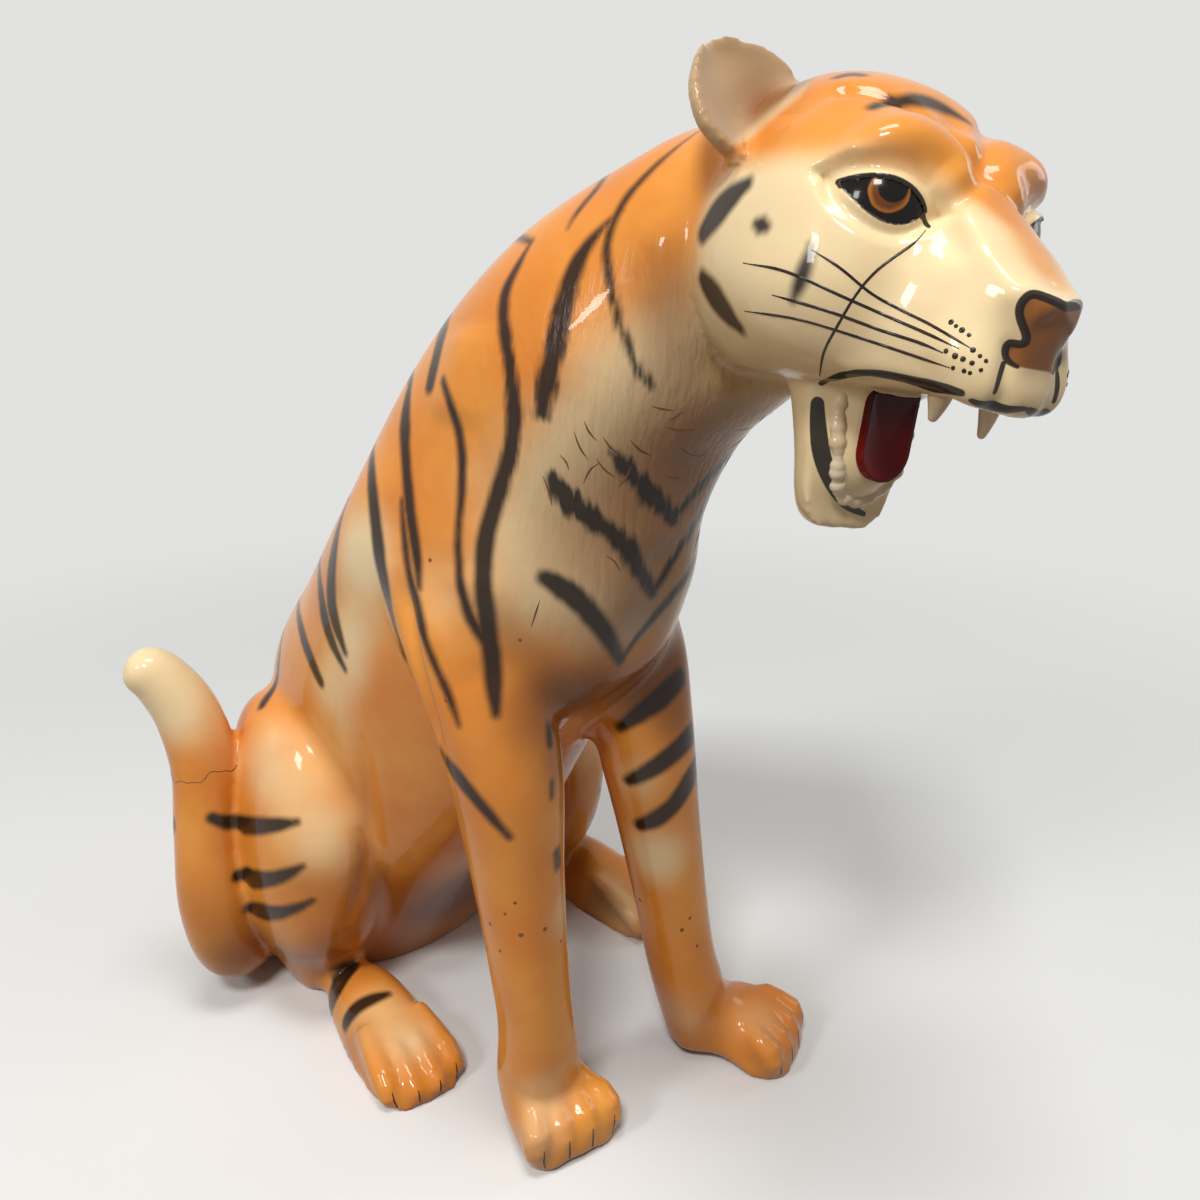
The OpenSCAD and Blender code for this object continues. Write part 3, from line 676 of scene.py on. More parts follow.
def ear_rings(side, sides, steps):
    """Rings of an ear: a leaf whose front is dished between rounded rims."""
    up, across, behind = EAR_AXES
    a = turns(sides)
    out = []
    for share, half_w, half_d in smooth_rows(EAR, steps):
        inward = np.abs(np.sin(a))
        rolled = min(EAR_ROLL, half_d) * inward**0.5 * (1 - inward) ** 0.8
        dish = max(half_d - EAR_WALL, 0) * inward**2
        depth = np.where(np.sin(a) > 0, half_d * inward**0.5, dish - rolled)
        middle = EAR_ROOT + share * EAR_H * up
        ring = middle + half_w * np.cos(a)[:, None] * across + depth[:, None] * behind
        out.append(head_to_statue(ring * MIRROR if side < 0 else ring))
    return np.array(out)


def jaw_slope(x, drop):
    low = np.maximum(0, drop - LINING_DROP + LINING_HALF_W)
    return JAW_FRONT + np.minimum(JAW_SLOPE_W, np.maximum(0, np.hypot(x, low) - LINING_HALF_W))


def jaw_rings(sides, steps, overlap):
    """Rings of the lower jaw from its chin up, with a root inside the head."""
    a = turns(sides)
    rows = smooth_rows(JAW, steps)
    root = rows[-1].copy()
    root[0] -= overlap / JAW_DROP
    out = []
    for share, half_w, front, back in np.vstack([rows, root]):
        x = half_w * squared(np.cos(a), JAW_ROUNDNESS)
        y = (front + back) / 2 + (back - front) / 2 * squared(np.sin(a), JAW_ROUNDNESS)
        y = np.maximum(jaw_slope(x, share * JAW_DROP), y)
        out.append(head_to_statue(np.stack([x, y, np.full(sides, PALATE_Z - share * JAW_DROP)], 1)))
    return np.array(out)


# Clay

def loft_faces(start, count, sides):
    """Faces between rings of points, without the ends."""
    faces = []
    for i in range(count - 1):
        a, b = start + i * sides, start + (i + 1) * sides
        for k in range(sides):
            j = (k + 1) % sides
            faces.append((a + k, a + j, b + j, b + k))
    return faces


class Clay:
    """Lofts of the statue before they are joined."""

    def __init__(self):
        self.points, self.faces, self.nodes, self.shapes, self.kinds = [], [], [], [], []
        self.count = 0

    def add(self, kind, rings, nodes):
        """Adds a loft; nodes gives the node of each span between rings."""
        n, sides = rings.shape[:2]
        walls = loft_faces(self.count, n, sides)
        self.faces.extend(walls)
        for node in nodes[: n - 1]:
            self.nodes.extend([node] * sides)
        for i, node in ((0, nodes[0]), (n - 1, nodes[-1])):
            self.faces.append(tuple(self.count + i * sides + k for k in range(sides)))
            self.nodes.append(node)
        self.shapes.extend([len(self.kinds)] * (len(walls) + 2))
        self.points.append(rings.reshape(-1, 3))
        self.kinds.append(kind)
        self.count += n * sides


def gather_clay():
    clay = Clay()
    steps, sides = 8, 72
    torso = oval_rings(TORSO, sides, steps)
    skull = skull_rings(sides, steps)
    neck = neck_rings(torso, skull, steps)
    core = np.concatenate([torso, neck, skull])
    spans = len(core) - 1
    clay.add("core", core, ["torso"] * (len(torso) - 1) + ["head"] * (spans - len(torso) + 1))
    for node, rows in LIMBS.items():
        rings = oval_rings(rows, 48, 6)
        kind = "limb" if "foreleg" in node else "haunch"
        clay.add(kind, rings, [node] * len(rings))
        for part, shape in paw_shapes(PAWS[node]):
            clay.add(part, shape, [node] * len(shape))
    tail = tube_rings(TAIL, steps, 40)
    broken = TAIL_BREAK * steps
    clay.add("tail", tail, ["tail"] * broken + ["tail_tip"] * (len(tail) - broken))
    jaw = jaw_rings(64, 6, JAW_ROOT)
    clay.add("jaw", jaw, ["lower_jaw"] * len(jaw))
    for node, side in (("left_ear", 1), ("right_ear", -1)):
        rings = ear_rings(side, 48, 6)
        clay.add("ear", rings, [node] * len(rings))
    return clay


def to_scene(points):
    return (np.asarray(points, float) + TO_MIDDLE) * MM


def new_mesh(name, points, faces):
    mesh = bpy.data.meshes.new(name)
    mesh.from_pydata(to_scene(points).tolist(), [], [tuple(f) for f in faces])
    mesh.update()
    return mesh


def shown(name, mesh):
    obj = bpy.data.objects.new(name, mesh)
    bpy.context.scene.collection.objects.link(obj)
    return obj


def baked(obj):
    """The object's mesh with its modifiers applied, in place of the object."""
    bpy.context.view_layer.update()
    depsgraph = bpy.context.evaluated_depsgraph_get()
    mesh = bpy.data.meshes.new_from_object(obj.evaluated_get(depsgraph))
    before = obj.data
    bpy.data.objects.remove(obj)
    bpy.data.meshes.remove(before)
    return mesh


def add_remesh(obj, voxel):
    remesh = obj.modifiers.new("fuse", "REMESH")
    remesh.mode = "VOXEL"
    remesh.voxel_size = voxel
    return remesh


def store(mesh, name, values):
    """Keeps a number for each point of a mesh under a name."""
    layer = mesh.attributes.new(name, "FLOAT", "POINT")
    layer.data.foreach_set("value", np.asarray(values, np.float32))


def fused(clay, voxel):
    """The lofts joined into one skin."""
    obj = shown("clay", new_mesh("clay", np.vstack(clay.points), clay.faces))
    add_remesh(obj, voxel)
    return baked(obj)


def mesh_points(mesh):
    co = np.empty(len(mesh.vertices) * 3)
    mesh.vertices.foreach_get("co", co)
    return co.reshape(-1, 3) / MM - TO_MIDDLE


def set_points(mesh, points):
    mesh.vertices.foreach_set("co", to_scene(points).ravel())
    mesh.update()


def mesh_edges(mesh):
    edges = np.empty(len(mesh.edges) * 2, int)
    mesh.edges.foreach_get("vertices", edges)
    return edges.reshape(-1, 2)


def mesh_normals(mesh):
    normals = np.empty(len(mesh.vertices) * 3)
    mesh.vertex_normals.foreach_get("vector", normals)
    return normals.reshape(-1, 3)


def corner_lists(mesh):
    """Start and length of each face's corners, and their vertices."""
    total = np.empty(len(mesh.polygons), int)
    mesh.polygons.foreach_get("loop_total", total)
    corners = np.empty(len(mesh.loops), int)
    mesh.loops.foreach_get("vertex_index", corners)
    start = np.concatenate([[0], np.cumsum(total)[:-1]])
    return start, total, corners


def relaxed(points, edges, weight, rounds):
    """Points drawn towards the mean of their neighbours."""
    count = len(points)
    near = np.bincount(edges[:, 0], minlength=count) + np.bincount(edges[:, 1], minlength=count)
    near = np.maximum(near, 1)
    for _ in range(rounds):
        mean = np.empty_like(points)
        for axis in range(3):
            column = points[:, axis]
            mean[:, axis] = (
                np.bincount(edges[:, 0], column[edges[:, 1]], count)
                + np.bincount(edges[:, 1], column[edges[:, 0]], count)
            ) / near
        points = points + (mean - points) * weight[:, None]
    return points


def polished(points, edges, weight, rounds):
    """Smooths without shrinking."""
    for _ in range(rounds):
        points = relaxed(points, edges, 0.5 * weight, 1)
        points = relaxed(points, edges, -0.52 * weight, 1)
    return points


def spread(seed, edges, rings):
    """1 on the seed, falling to 0 over a number of edge steps."""
    level = np.where(seed, 1.0, 0.0)
    for _ in range(rings):
        grown = level.copy()
        np.maximum.at(grown, edges[:, 0], level[edges[:, 1]] - 1 / rings)
        np.maximum.at(grown, edges[:, 1], level[edges[:, 0]] - 1 / rings)
        level = grown
    return level * level * (3 - 2 * level)


def nearest_faces(tree, points):
    return np.array([tree.find_nearest(p)[2] for p in points.tolist()])


def blended(points, edges, corners, face_of_corner, shape_of_face, kinds):
    """Smooths the clay where its forms meet, each kind of seam by its own measure."""
    count = len(points)
    low = np.full(count, 10**6)
    high = np.full(count, -1)
    shapes = shape_of_face[face_of_corner]
    np.minimum.at(low, corners, shapes)
    np.maximum.at(high, corners, shapes)
    seams = {}
    for v in np.nonzero(low != high)[0]:
        pair = tuple(sorted((kinds[low[v]], kinds[high[v]])))
        seams.setdefault(pair, []).append(v)
    table = {tuple(sorted(pair)): blend for pair, blend in SEAM_BLENDS.items()}
    for pair, found in sorted(seams.items()):
        rings, rounds = table.get(pair, OTHER_BLEND)
        seed = np.zeros(count, bool)
        seed[found] = True
        points = relaxed(points, edges, 0.5 * spread(seed, edges, rings), rounds)
    return points


def formed_skin(voxel):
    """One smooth skin of the whole statue, with the node of each face."""
    clay = gather_clay()
    mesh = fused(clay, voxel)
    points = mesh_points(mesh)
    edges = mesh_edges(mesh)
    start, total, corners = corner_lists(mesh)
    centres = np.add.reduceat(points[corners], start) / total[:, None]
    tree = BVHTree.FromPolygons(np.vstack(clay.points).tolist(), clay.faces)
    found = nearest_faces(tree, centres)
    shape_of_face = np.array(clay.shapes)[found]
    node_of_face = np.array([NODES.index(n) for n in clay.nodes])[found]
    face_of_corner = np.repeat(np.arange(len(total)), total)
    everywhere = np.ones(len(points))
    points = polished(points, edges, everywhere, FIRST_POLISH)
    points = blended(points, edges, corners, face_of_corner, shape_of_face, clay.kinds)
    points = polished(points, edges, everywhere, LAST_POLISH)
    tip = np.linalg.norm(points - np.array(TAIL[-1][:3]), axis=1)
    points = relaxed(points, edges, 0.5 * np.exp(-((tip / TIP_REACH) ** 2)), TIP_ROUNDS)
    points[:, 2] = np.maximum(points[:, 2], 0)
    set_points(mesh, points)
    return mesh, node_of_face


def finer_head(mesh, node_of_face):
    """Splits the faces of head, jaw and ears, so that the face can be modelled."""
    fine = ("head", "lower_jaw", "left_ear", "right_ear")
    work = bmesh.new()
    work.from_mesh(mesh)
    layer = work.faces.layers.int.new("node")
    chosen = set()
    for face, node in zip(work.faces, node_of_face.tolist()):
        face[layer] = node
        if NODES[node] in fine:
            chosen.update(face.edges)
    bmesh.ops.subdivide_edges(work, edges=list(chosen), cuts=1, use_grid_fill=True)
    labels = np.array([face[layer] for face in work.faces])
    work.to_mesh(mesh)
    work.free()
    mesh.update()
    points = mesh_points(mesh)
    edges = mesh_edges(mesh)
    in_head = on_nodes(mesh, labels, *fine)
    points = polished(points, edges, in_head.astype(float), HEAD_POLISH)
    ears = spread(on_nodes(mesh, labels, "left_ear", "right_ear"), edges, EAR_RINGS)
    points = relaxed(points, edges, 0.5 * ears, EAR_ROUNDS)
    points = polished(points, edges, ears, EAR_POLISH)
    jaw = spread(on_nodes(mesh, labels, "lower_jaw"), edges, JAW_RINGS)
    points = relaxed(points, edges, JAW_PULL * jaw, JAW_ROUNDS)
    set_points(mesh, points)
    return labels


def on_nodes(mesh, labels, *nodes):
    """Which vertices touch a face of the nodes."""
    _, total, corners = corner_lists(mesh)
    touched = np.zeros(len(mesh.vertices), bool)
    chosen = np.isin(labels, [NODES.index(node) for node in nodes])
    touched[corners[np.repeat(chosen, total)]] = True
    return touched


# Modelling of the face

def photo_axes():
    a, e = math.radians(CAMERA_AZIMUTH), math.radians(CAMERA_ELEVATION)
    back = np.array([math.sin(a) * math.cos(e), -math.cos(a) * math.cos(e), math.sin(e)])
    right = np.array([math.cos(a), math.sin(a), 0.0])
    return back, right, np.cross(back, right)


def skin_tree(mesh):
    faces = [tuple(p.vertices) for p in mesh.polygons]
    return BVHTree.FromPolygons(mesh_points(mesh).tolist(), faces)


def parted(found):
    """Points and normals of places found on the skin."""
    return np.array([f[0] for f in found]), np.array([f[1] for f in found])


class Cast:
    """Finds places of the photograph on the skin."""

    def __init__(self, mesh):
        self.tree = skin_tree(mesh)
        self.back, self.right, self.up = photo_axes()

    def at(self, place):
        across, down = place[0] - PHOTO_SIZE / 2, place[1] - PHOTO_SIZE / 2
        ray = across * self.right - down * self.up - FOCAL_PX * self.back
        hit = self.tree.ray_cast(Vector(CAMERA_AT), Vector(unit(ray)))
        if hit[0] is None:
            hit = self.tree.find_nearest(Vector(CAMERA_AT + ray * self.near_outline(ray)))
        return np.array(hit[0]), np.array(hit[1])

    def near_outline(self, ray):
        """How far along a ray that passes the outline the skin comes nearest."""
        spots = np.linspace(0.5, 1.6, 23)
        gaps = [self.tree.find_nearest(Vector(CAMERA_AT + ray * s))[3] for s in spots]
        return spots[int(np.argmin(gaps))]

    def along(self, places, gap=4.0):
        """Points and normals on the skin along a line drawn in the photograph."""
        places = np.asarray(places, float)
        if len(places) > 2:
            places = smooth_rows(places, 8)
        lengths = np.concatenate([[0], np.cumsum(np.linalg.norm(np.diff(places, axis=0), axis=1))])
        count = max(2, int(lengths[-1] / gap) + 1)
        spots = np.linspace(0, lengths[-1], count)
        across = np.interp(spots, lengths, places[:, 0])
        down = np.interp(spots, lengths, places[:, 1])
        return parted([self.at(place) for place in zip(across, down)])

    def brushed(self, places):
        """A brush stroke on the skin and its half width in mm along it."""
        dense = smooth_rows(np.asarray(places, float), 6)
        line = np.array([self.at(p)[0] for p in dense[:, :2]])
        facing = -(line - CAMERA_AT) @ self.back * dense[:, 2] / FOCAL_PX
        course = unit(np.gradient(dense[:, :2], axis=0))
        aside = np.column_stack([-course[:, 1], course[:, 0]]) * dense[:, 2:]
        edges = [[self.at(p)[0] for p in dense[:, :2] + side * aside] for side in (1, -1)]
        half = np.linalg.norm(np.array(edges[0]) - np.array(edges[1]), axis=1) / 2
        for _ in range(STROKE_ROUNDS):
            line[1:-1] = (line[:-2] + 2 * line[1:-1] + line[2:]) / 4
        return self.snapped(line)[0], np.clip(half, THIN_STROKE * facing, WIDE_STROKE * facing)

    def snapped(self, points):
        """Nearest points and normals on the skin."""
        return parted([self.tree.find_nearest(p) for p in np.asarray(points).tolist()])


def gap_to_line(points, line):
    """Distance of points to a line of points, and the share of the line where it is met."""
    best = np.full(len(points), 1e9)
    where = np.zeros(len(points))
    count = max(len(line) - 1, 1)
    for i in range(len(line) - 1):
        a, b = line[i], line[i + 1]
        span = b - a
        size = max(float(span @ span), 1e-9)
        t = np.clip((points - a) @ span / size, 0, 1)
        gap = np.linalg.norm(points - a - t[:, None] * span, axis=1)
        closer = gap < best
        best = np.where(closer, gap, best)
        where = np.where(closer, (i + t) / count, where)
    return best, where


def other_side_of_head(points):
    return head_to_statue(statue_to_head(points) * MIRROR)


def arc_of(half_h):
    """Radius of a lid's arc of this height, and how far its centre lies beyond the corners."""
    ratio = EYE_HALF_W**2 / half_h
    return (ratio + half_h) / 2, (ratio - half_h) / 2


def skewed(x):
    """Places along an eye moved so that its lids are fullest towards the nose."""
    return x + LID_SKEW * np.maximum(EYE_HALF_W**2 - x**2, 0) / EYE_HALF_W


def lid_gap(local):
    """Signed distance in the eye's plane to the edge of the lids, negative inside the opening."""
    top, above = arc_of(LID_TOP)
    low, below = arc_of(LID_LOW)
    x, y = skewed(local[:, 0]), local[:, 1]
    return np.maximum(np.hypot(x, y + above) - top, np.hypot(x, y - below) - low)


def almond_rim(count, outward):
    """Places round the opening between the lids, moved outwards."""
    a = turns(count)
    upper = np.sin(a) >= 0
    x = EYE_HALF_W * np.cos(a)
    radius, off = np.where(upper, np.array([arc_of(LID_TOP)]).T, np.array([arc_of(LID_LOW)]).T)
    y = np.where(upper, 1, -1) * (np.sqrt(radius**2 - skewed(x) ** 2) - off)
    rim = np.stack([x, y], 1)
    return rim * (1 + outward / np.maximum(np.linalg.norm(rim, axis=1), 1)[:, None])


def ball_height(x, y):
    """Height of the eye's dome over its plane."""
    return EYE_STAND - EYE_BALL_R + np.sqrt(np.maximum(EYE_BALL_R**2 - x**2 - y**2, 0))


def lash_lines():
    """Black lines round the opening of both eyes, with their half widths in mm."""
    rim = almond_rim(48, LASH_OUT)
    rim = np.vstack([rim, rim[:1]])
    level = ball_height(rim[:, 0], rim[:, 1]) + LASH_LIFT
    half = LASH_R + LASH_MORE * eased(rim[:, 1], -2, 4)
    local = np.column_stack([rim, level])
    return [(head_to_statue(eye_to_head(local, side)), half) for side in (1, -1)]


def eased(value, low, high):
    t = np.clip((value - low) / (high - low), 0, 1)
    return t * t * (3 - 2 * t)


def claw_places(place):
    """Upper and lower end of the dark line on each toe."""
    x, y, heading, length, half_w, height = place
    basis = turn_matrix("z", heading)
    found = []
    for off, reach in toe_reaches(length):
        side = CLAW_GAP * off * half_w
        ends = np.array([[side, 3 - reach, 0.56 * height], [side, -reach - 2, 0.14 * height]])
        found.append(ends @ basis.T + np.array([x, y, 0]))
    return found


def crack_course():
    """The crack round the tail where its tip was joined on."""
    a = turns(48)
    ring = tube_rings(TAIL, 1, len(a))[TAIL_BREAK]
    wander = 3.0 * np.sin(3 * a) + 2.0 * np.sin(7 * a + 1) + 1.2 * np.sin(13 * a)
    ring = ring + np.outer(wander, [0, 0, 1])
    return np.vstack([ring, ring[:1]])


def sculpt_body(mesh, cast, strength):
    """Models the folds of arms, haunches and chest on the skin."""
    points = mesh_points(mesh)
    normals = mesh_normals(mesh)
    for reach, height, places in BODY_FOLDS.values():
        line, _ = cast.along(places, 6.0)
        lift = np.zeros(len(points))
        for course in (line, other_side(line, cast)):
            room = np.ptp(course, 0) / 2 + 3 * reach
            near = np.nonzero((np.abs(points - course.mean(0)) < room).all(1))[0]
            gap, share = gap_to_line(points[near], course)
            ends = eased(share, 0, 0.25) * eased(1 - share, 0, 0.25)
            lift[near] += strength * height * ends * np.exp(-((gap / reach) ** 2))
        points += normals * lift[:, None]
    set_points(mesh, points)


def sculpt_head(mesh, labels, cast, strength, lid_h):
    """Models lids, brows, nose and lips on the skin of the head."""
    points = mesh_points(mesh)
    normals = mesh_normals(mesh)
    head = np.nonzero(on_nodes(mesh, labels, "head"))[0]
    for reach, height, places in FACE_FOLDS.values():
        line, _ = cast.along(places)
        for course in (line, other_side_of_head(line)):
            gap, _ = gap_to_line(points[head], course)
            points[head] += normals[head] * (strength * height * np.exp(-((gap / reach) ** 2)))[:, None]
    local_head = statue_to_head(points[head])
    for side in (1, -1):
        eye = head_to_eye(local_head, side)
        gap = lid_gap(eye)
        near = (np.abs(eye[:, 2]) < LID_DEPTH) & (gap < LID_ROOM)
        level = -eye[:, 0] ** 2 / (3 * EYE_BALL_R)
        above = eased(eye[:, 1], -3, 3)
        lid = ball_height(eye[:, 0], eye[:, 1]) + lid_h * (1 + above)
        lid += (level - lid) * eased(gap, *LID_FADE)
        crease = above * np.exp(-(((gap - CREASE_AT) / CREASE_REACH) ** 2))
        target = lid - crease - SOCKET_DEPTH * eased(-gap, *SOCKET_EDGE)
        pull = 1 - eased(gap, *LID_PULL)
        eye[near, 2] += ((target - eye[:, 2]) * pull)[near]
        local_head[near] = eye_to_head(eye, side)[near]
    points[head] = head_to_statue(local_head)
    set_points(mesh, points)


def trimmed(mesh):
    """Keeps the skin and the paint on it inside the part's box."""
    low, high = (np.array(corner) / MM - TO_MIDDLE for corner in cad_box)
    low, high = low + [PAINT_ROOM, PAINT_ROOM, 0], high - PAINT_ROOM
    set_points(mesh, np.clip(mesh_points(mesh), low, high))


# Paint

def torso_middle(points):
    """x of the statue's middle plane at each point."""
    rows = np.asarray(TORSO, float)
    return np.interp(points[:, 2], rows[:, 2], rows[:, 0])


def other_side(points, cast):
    """A line on the other side of the statue."""
    if statue_to_head(points.mean(0)[None])[0][1] < HEAD_BACK:
        twin = other_side_of_head(points)
    else:
        twin = points.copy()
        twin[:, 0] = 2 * torso_middle(points) - points[:, 0]
    return cast.snapped(twin)[0]


def over_back(line, half, cast):
    """The course of a stripe from its upper end towards the spine, with its half widths in mm."""
    start = line[0]
    aim = [torso_middle(line[:1])[0], start[1] + SPINE_BACK, start[2] + SPINE_UP]
    spine = cast.snapped(np.array([aim]))[0][0]
    t = np.linspace(0, SPINE_SHARE, 9)
    course = cast.snapped(start + t[:, None] * (spine - start))[0]
    return course, max(half, SPINE_BRUSH) * (1 + 0.6 * np.sin(math.pi * t)) * (1 - 0.8 * t)


def brush_courses(cast):
    """Courses of all stripes on both sides, with half widths in mm."""
    found = []
    for group, kind in ((STRIPES, "twin"), (CHEST_STRIPES, "meet"), (LONE_MARKS, "lone")):
        for name, places in group.items():
            line, half = cast.brushed(places)
            found.append((line, half))
            if kind == "twin":
                twin = other_side(line, cast)
                found.append((twin, half))
                if name in OVER_BACK:
                    found.extend(over_back(side, half[0], cast) for side in (line, twin))
            elif kind == "meet":
                twin = line.copy()
                twin[:, 0] = 2 * line[-1, 0] - line[:, 0]
                found.append((cast.snapped(twin)[0], FAR_CHEST_BRUSH * half))
    return found


def edge_of(points, courses):
    """Distance in mm outside the edge of the nearest brushed course, negative inside."""
    edge = np.full(len(points), FAR)
    for line, half in courses:
        low, high = line.min(0) - STROKE_ROOM, line.max(0) + STROKE_ROOM
        near = np.nonzero(((points > low) & (points < high)).all(1))[0]
        if len(near):
            gap, share = gap_to_line(points[near], line)
            width = np.interp(share, np.linspace(0, 1, len(half)), half)
            edge[near] = np.minimum(edge[near], gap - width)
    return edge


def clouds(points, cast, places):
    """Share of an airbrushed colour or of painted shade, sprayed on both sides."""
    bare = np.ones(len(points))
    for x, y, reach, strength in places:
        spot = cast.at((x, y))[0][None]
        for centre in (spot, other_side(spot, cast)):
            gap = ((points - centre) ** 2).sum(1)
            bare *= 1 - strength * np.exp(-gap / reach**2)
    return 1 - bare


def airbrushed(points, cast):
    """Share of cream and of brown in the colour of each point; the brown is partly painted shade."""
    h = statue_to_head(points)
    on_head = 1 - eased(h[:, 1], 22, 68)
    face = 1 - eased(h[:, 2] - 0.3 * np.abs(h[:, 0]) + 0.12 * h[:, 1], -8, 32)
    bridge = np.exp(-(((h[:, 0] - 6) / 20) ** 2)) * eased(-h[:, 1], 60, 80) * eased(h[:, 2], -30, -6)
    cream = on_head * np.clip(face - 0.75 * bridge, 0, 1)
    cream = 1 - (1 - cream) * (1 - clouds(points, cast, CREAM_CLOUDS))
    # Brown wash, with painted shade on chest, belly, armpits and upper legs
    brown = clouds(points, cast, BROWN_AND_SHADE_CLOUDS) * (1 - 0.8 * on_head * (h[:, 2] < 60))
    for side in (1, -1):
        up, across, behind = ear_places(h, side)
        on_ear = (np.abs(across) < 62) & (np.abs(behind) < 30)
        front = eased(up, 0.0, 0.22) * (1 - eased(behind, 1, 14)) * on_ear
        cream = np.maximum(cream, 0.9 * front)
        dish = np.exp(-(((across + 6) / 24) ** 2) - ((up - 0.3) / 0.3) ** 2)
        brown = np.maximum(brown * (1 - front), front * (0.58 + 0.36 * dish))
    return cream, brown


def ear_places(h, side):
    """Share of an ear's height, place across it and depth behind its front, in the head's frame."""
    up, across, behind = EAR_AXES
    local = (h * MIRROR if side < 0 else h) - EAR_ROOT
    return local @ up / EAR_H, local @ across, local @ behind


def nose_share(points, cast):
    """1 on the nose leather, inside its black edge."""
    line, _ = cast.brushed(FACE_BANDS["nose_edge"])
    near = statue_to_head(line)[:, [0, 2]]
    near = near[near[:, 0] < 1]
    loop = np.vstack([near, near[::-1] * [-1, 1]])
    h = statue_to_head(points)
    inside = np.zeros(len(points), bool)
    x, z = h[:, 0], h[:, 2]
    for (x0, z0), (x1, z1) in zip(loop, np.roll(loop, -1, 0)):
        crosses = (z0 > z) != (z1 > z)
        reach = x0 + (z - z0) / (z1 - z0 if z1 != z0 else 1e-9) * (x1 - x0)
        inside ^= crosses & (x < reach)
    gap, _ = gap_to_line(h[:, [0, 2]], np.vstack([loop, loop[:1]]))
    return np.clip(0.5 + np.where(inside, gap, -gap) / 3, 0, 1) * (h[:, 1] < -100)


def painted_skin(mesh, cast):
    """Lays the paint on the skin as attributes; edges are distances in mm."""
    points = mesh_points(mesh)
    cream, brown = airbrushed(points, cast)
    bands = []
    for places in FACE_BANDS.values():
        line, half = cast.brushed(places)
        bands.append((line, half))
        near = statue_to_head(line)[:, 0] < 0.5
        bands.append((other_side(line[near], cast), half[near]))
    bands.extend(lash_lines())
    band = edge_of(points, bands)
    for side in (1, -1):
        eye = head_to_eye(statue_to_head(points), side)
        near = (np.abs(eye) < EYE_ROOM).all(1)
        band[near] = np.minimum(band[near], lid_gap(eye[near]) - LID_EDGE)
    paint = {
        "stripe": edge_of(points, brush_courses(cast)),
        "band": band,
        "cream": cream,
        "brown": brown,
        "nose": nose_share(points, cast),
        "fur": clouds(points, cast, FUR_CLOUDS),
    }
    for name, values in paint.items():
        store(mesh, name, values)
    return list(paint)


# Pieces

def closed_pieces(mesh, labels, paint):
    """One closed mesh for each node, cut from the skin, with the skin's own normals."""
    points = mesh_points(mesh)
    normals = mesh_normals(mesh)
    start, total, corners = corner_lists(mesh)
    layers = {}
    for name in paint:
        values = np.empty(len(points), np.float32)
        mesh.attributes[name].data.foreach_get("value", values)
        layers[name] = values
    tree = skin_tree(mesh)
    out = {}
    for index, node in enumerate(NODES):
        chosen = np.nonzero(labels == index)[0]
        if len(chosen) == 0:
            raise RuntimeError(f"the skin has no faces for {node}")
        faces = [corners[start[f] : start[f] + total[f]] for f in chosen]
        used, flat = np.unique(np.concatenate(faces), return_inverse=True)
        cuts = np.cumsum(total[chosen])[:-1]
        faces = [f.tolist() for f in np.split(flat, cuts)]
        rims = open_rims(faces)
        middles = [cap_middle(points[used[rim]], normals[used[rim]], tree) for rim in rims]
        piece_points = np.vstack([points[used]] + [m[None] for m in middles])
        for i, rim in enumerate(rims):
            hub = len(used) + i
            for k in range(len(rim)):
                faces.append([rim[(k + 1) % len(rim)], rim[k], hub])
        piece = new_mesh(node, piece_points, faces)
        piece.polygons.foreach_set("use_smooth", np.ones(len(piece.polygons), bool))
        for name, values in layers.items():
            bare = FAR if name in ("stripe", "band") else 0.0
            store(piece, name, np.append(values[used], np.full(len(rims), bare)))
        hub_normals = np.tile([0.0, 0.0, 1.0], (len(rims), 1))
        piece.normals_split_custom_set_from_vertices(np.vstack([normals[used], hub_normals]).tolist())
        out[node] = piece
    return out


def cap_middle(rim, normals, tree):
    """A place inside the clay from which the cap over an open rim stays inside it."""
    middle = rim.mean(0)
    places = [middle, middle - CAP_SINK * unit(normals.mean(0))]
    for i in np.linspace(0, len(rim) - 1, CAP_TRIES).astype(int):
        places.extend(rim[i] - depth * normals[i] for depth in CAP_DEPTHS)
    probes = rim[:: max(1, len(rim) // CAP_SPOKES)]
    best, fewest = middle, 10**9
    for place in places:
        outside = 0
        for share in CAP_PROBES:
            for spot in place + (probes - place) * share:
                near, normal, _, _ = tree.find_nearest(spot)
                outside += (Vector(spot) - near).dot(normal) > CAP_ROOM
        if outside < fewest:
            best, fewest = place, outside
    return best


def open_rims(faces):
    """Loops of vertices along the open edges, in the direction of the faces."""
    ahead = {}
    seen = set()
    for face in faces:
        for k in range(len(face)):
            seen.add((face[k], face[(k + 1) % len(face)]))
    for a, b in seen:
        if (b, a) not in seen:
            ahead.setdefault(a, []).append(b)
    rims = []
    while ahead:
        first = min(ahead)
        rim = [first]
        here = ahead[first].pop()
        if not ahead[first]:
            del ahead[first]
        while here != first:
            rim.append(here)
            following = ahead[here].pop()
            if not ahead[here]:
                del ahead[here]
            here = following
        rims.append(rim)
    return rims


# Finishes

def linear(colour):
    """A colour written as it looks, as the shader takes it."""
    return tuple(c / 12.92 if c <= 0.04045 else ((c + 0.055) / 1.055) ** 2.4 for c in colour) + (1.0,)


def feed(tree, socket, value):
    """Links a socket to another one, or gives it a value."""
    if isinstance(value, bpy.types.NodeSocket):
        tree.links.new(value, socket)
    else:
        socket.default_value = value


def add_node(tree, kind, **sockets):
    node = tree.nodes.new(kind)
    for name, value in sockets.items():
        feed(tree, node.inputs[name], value)
    return node


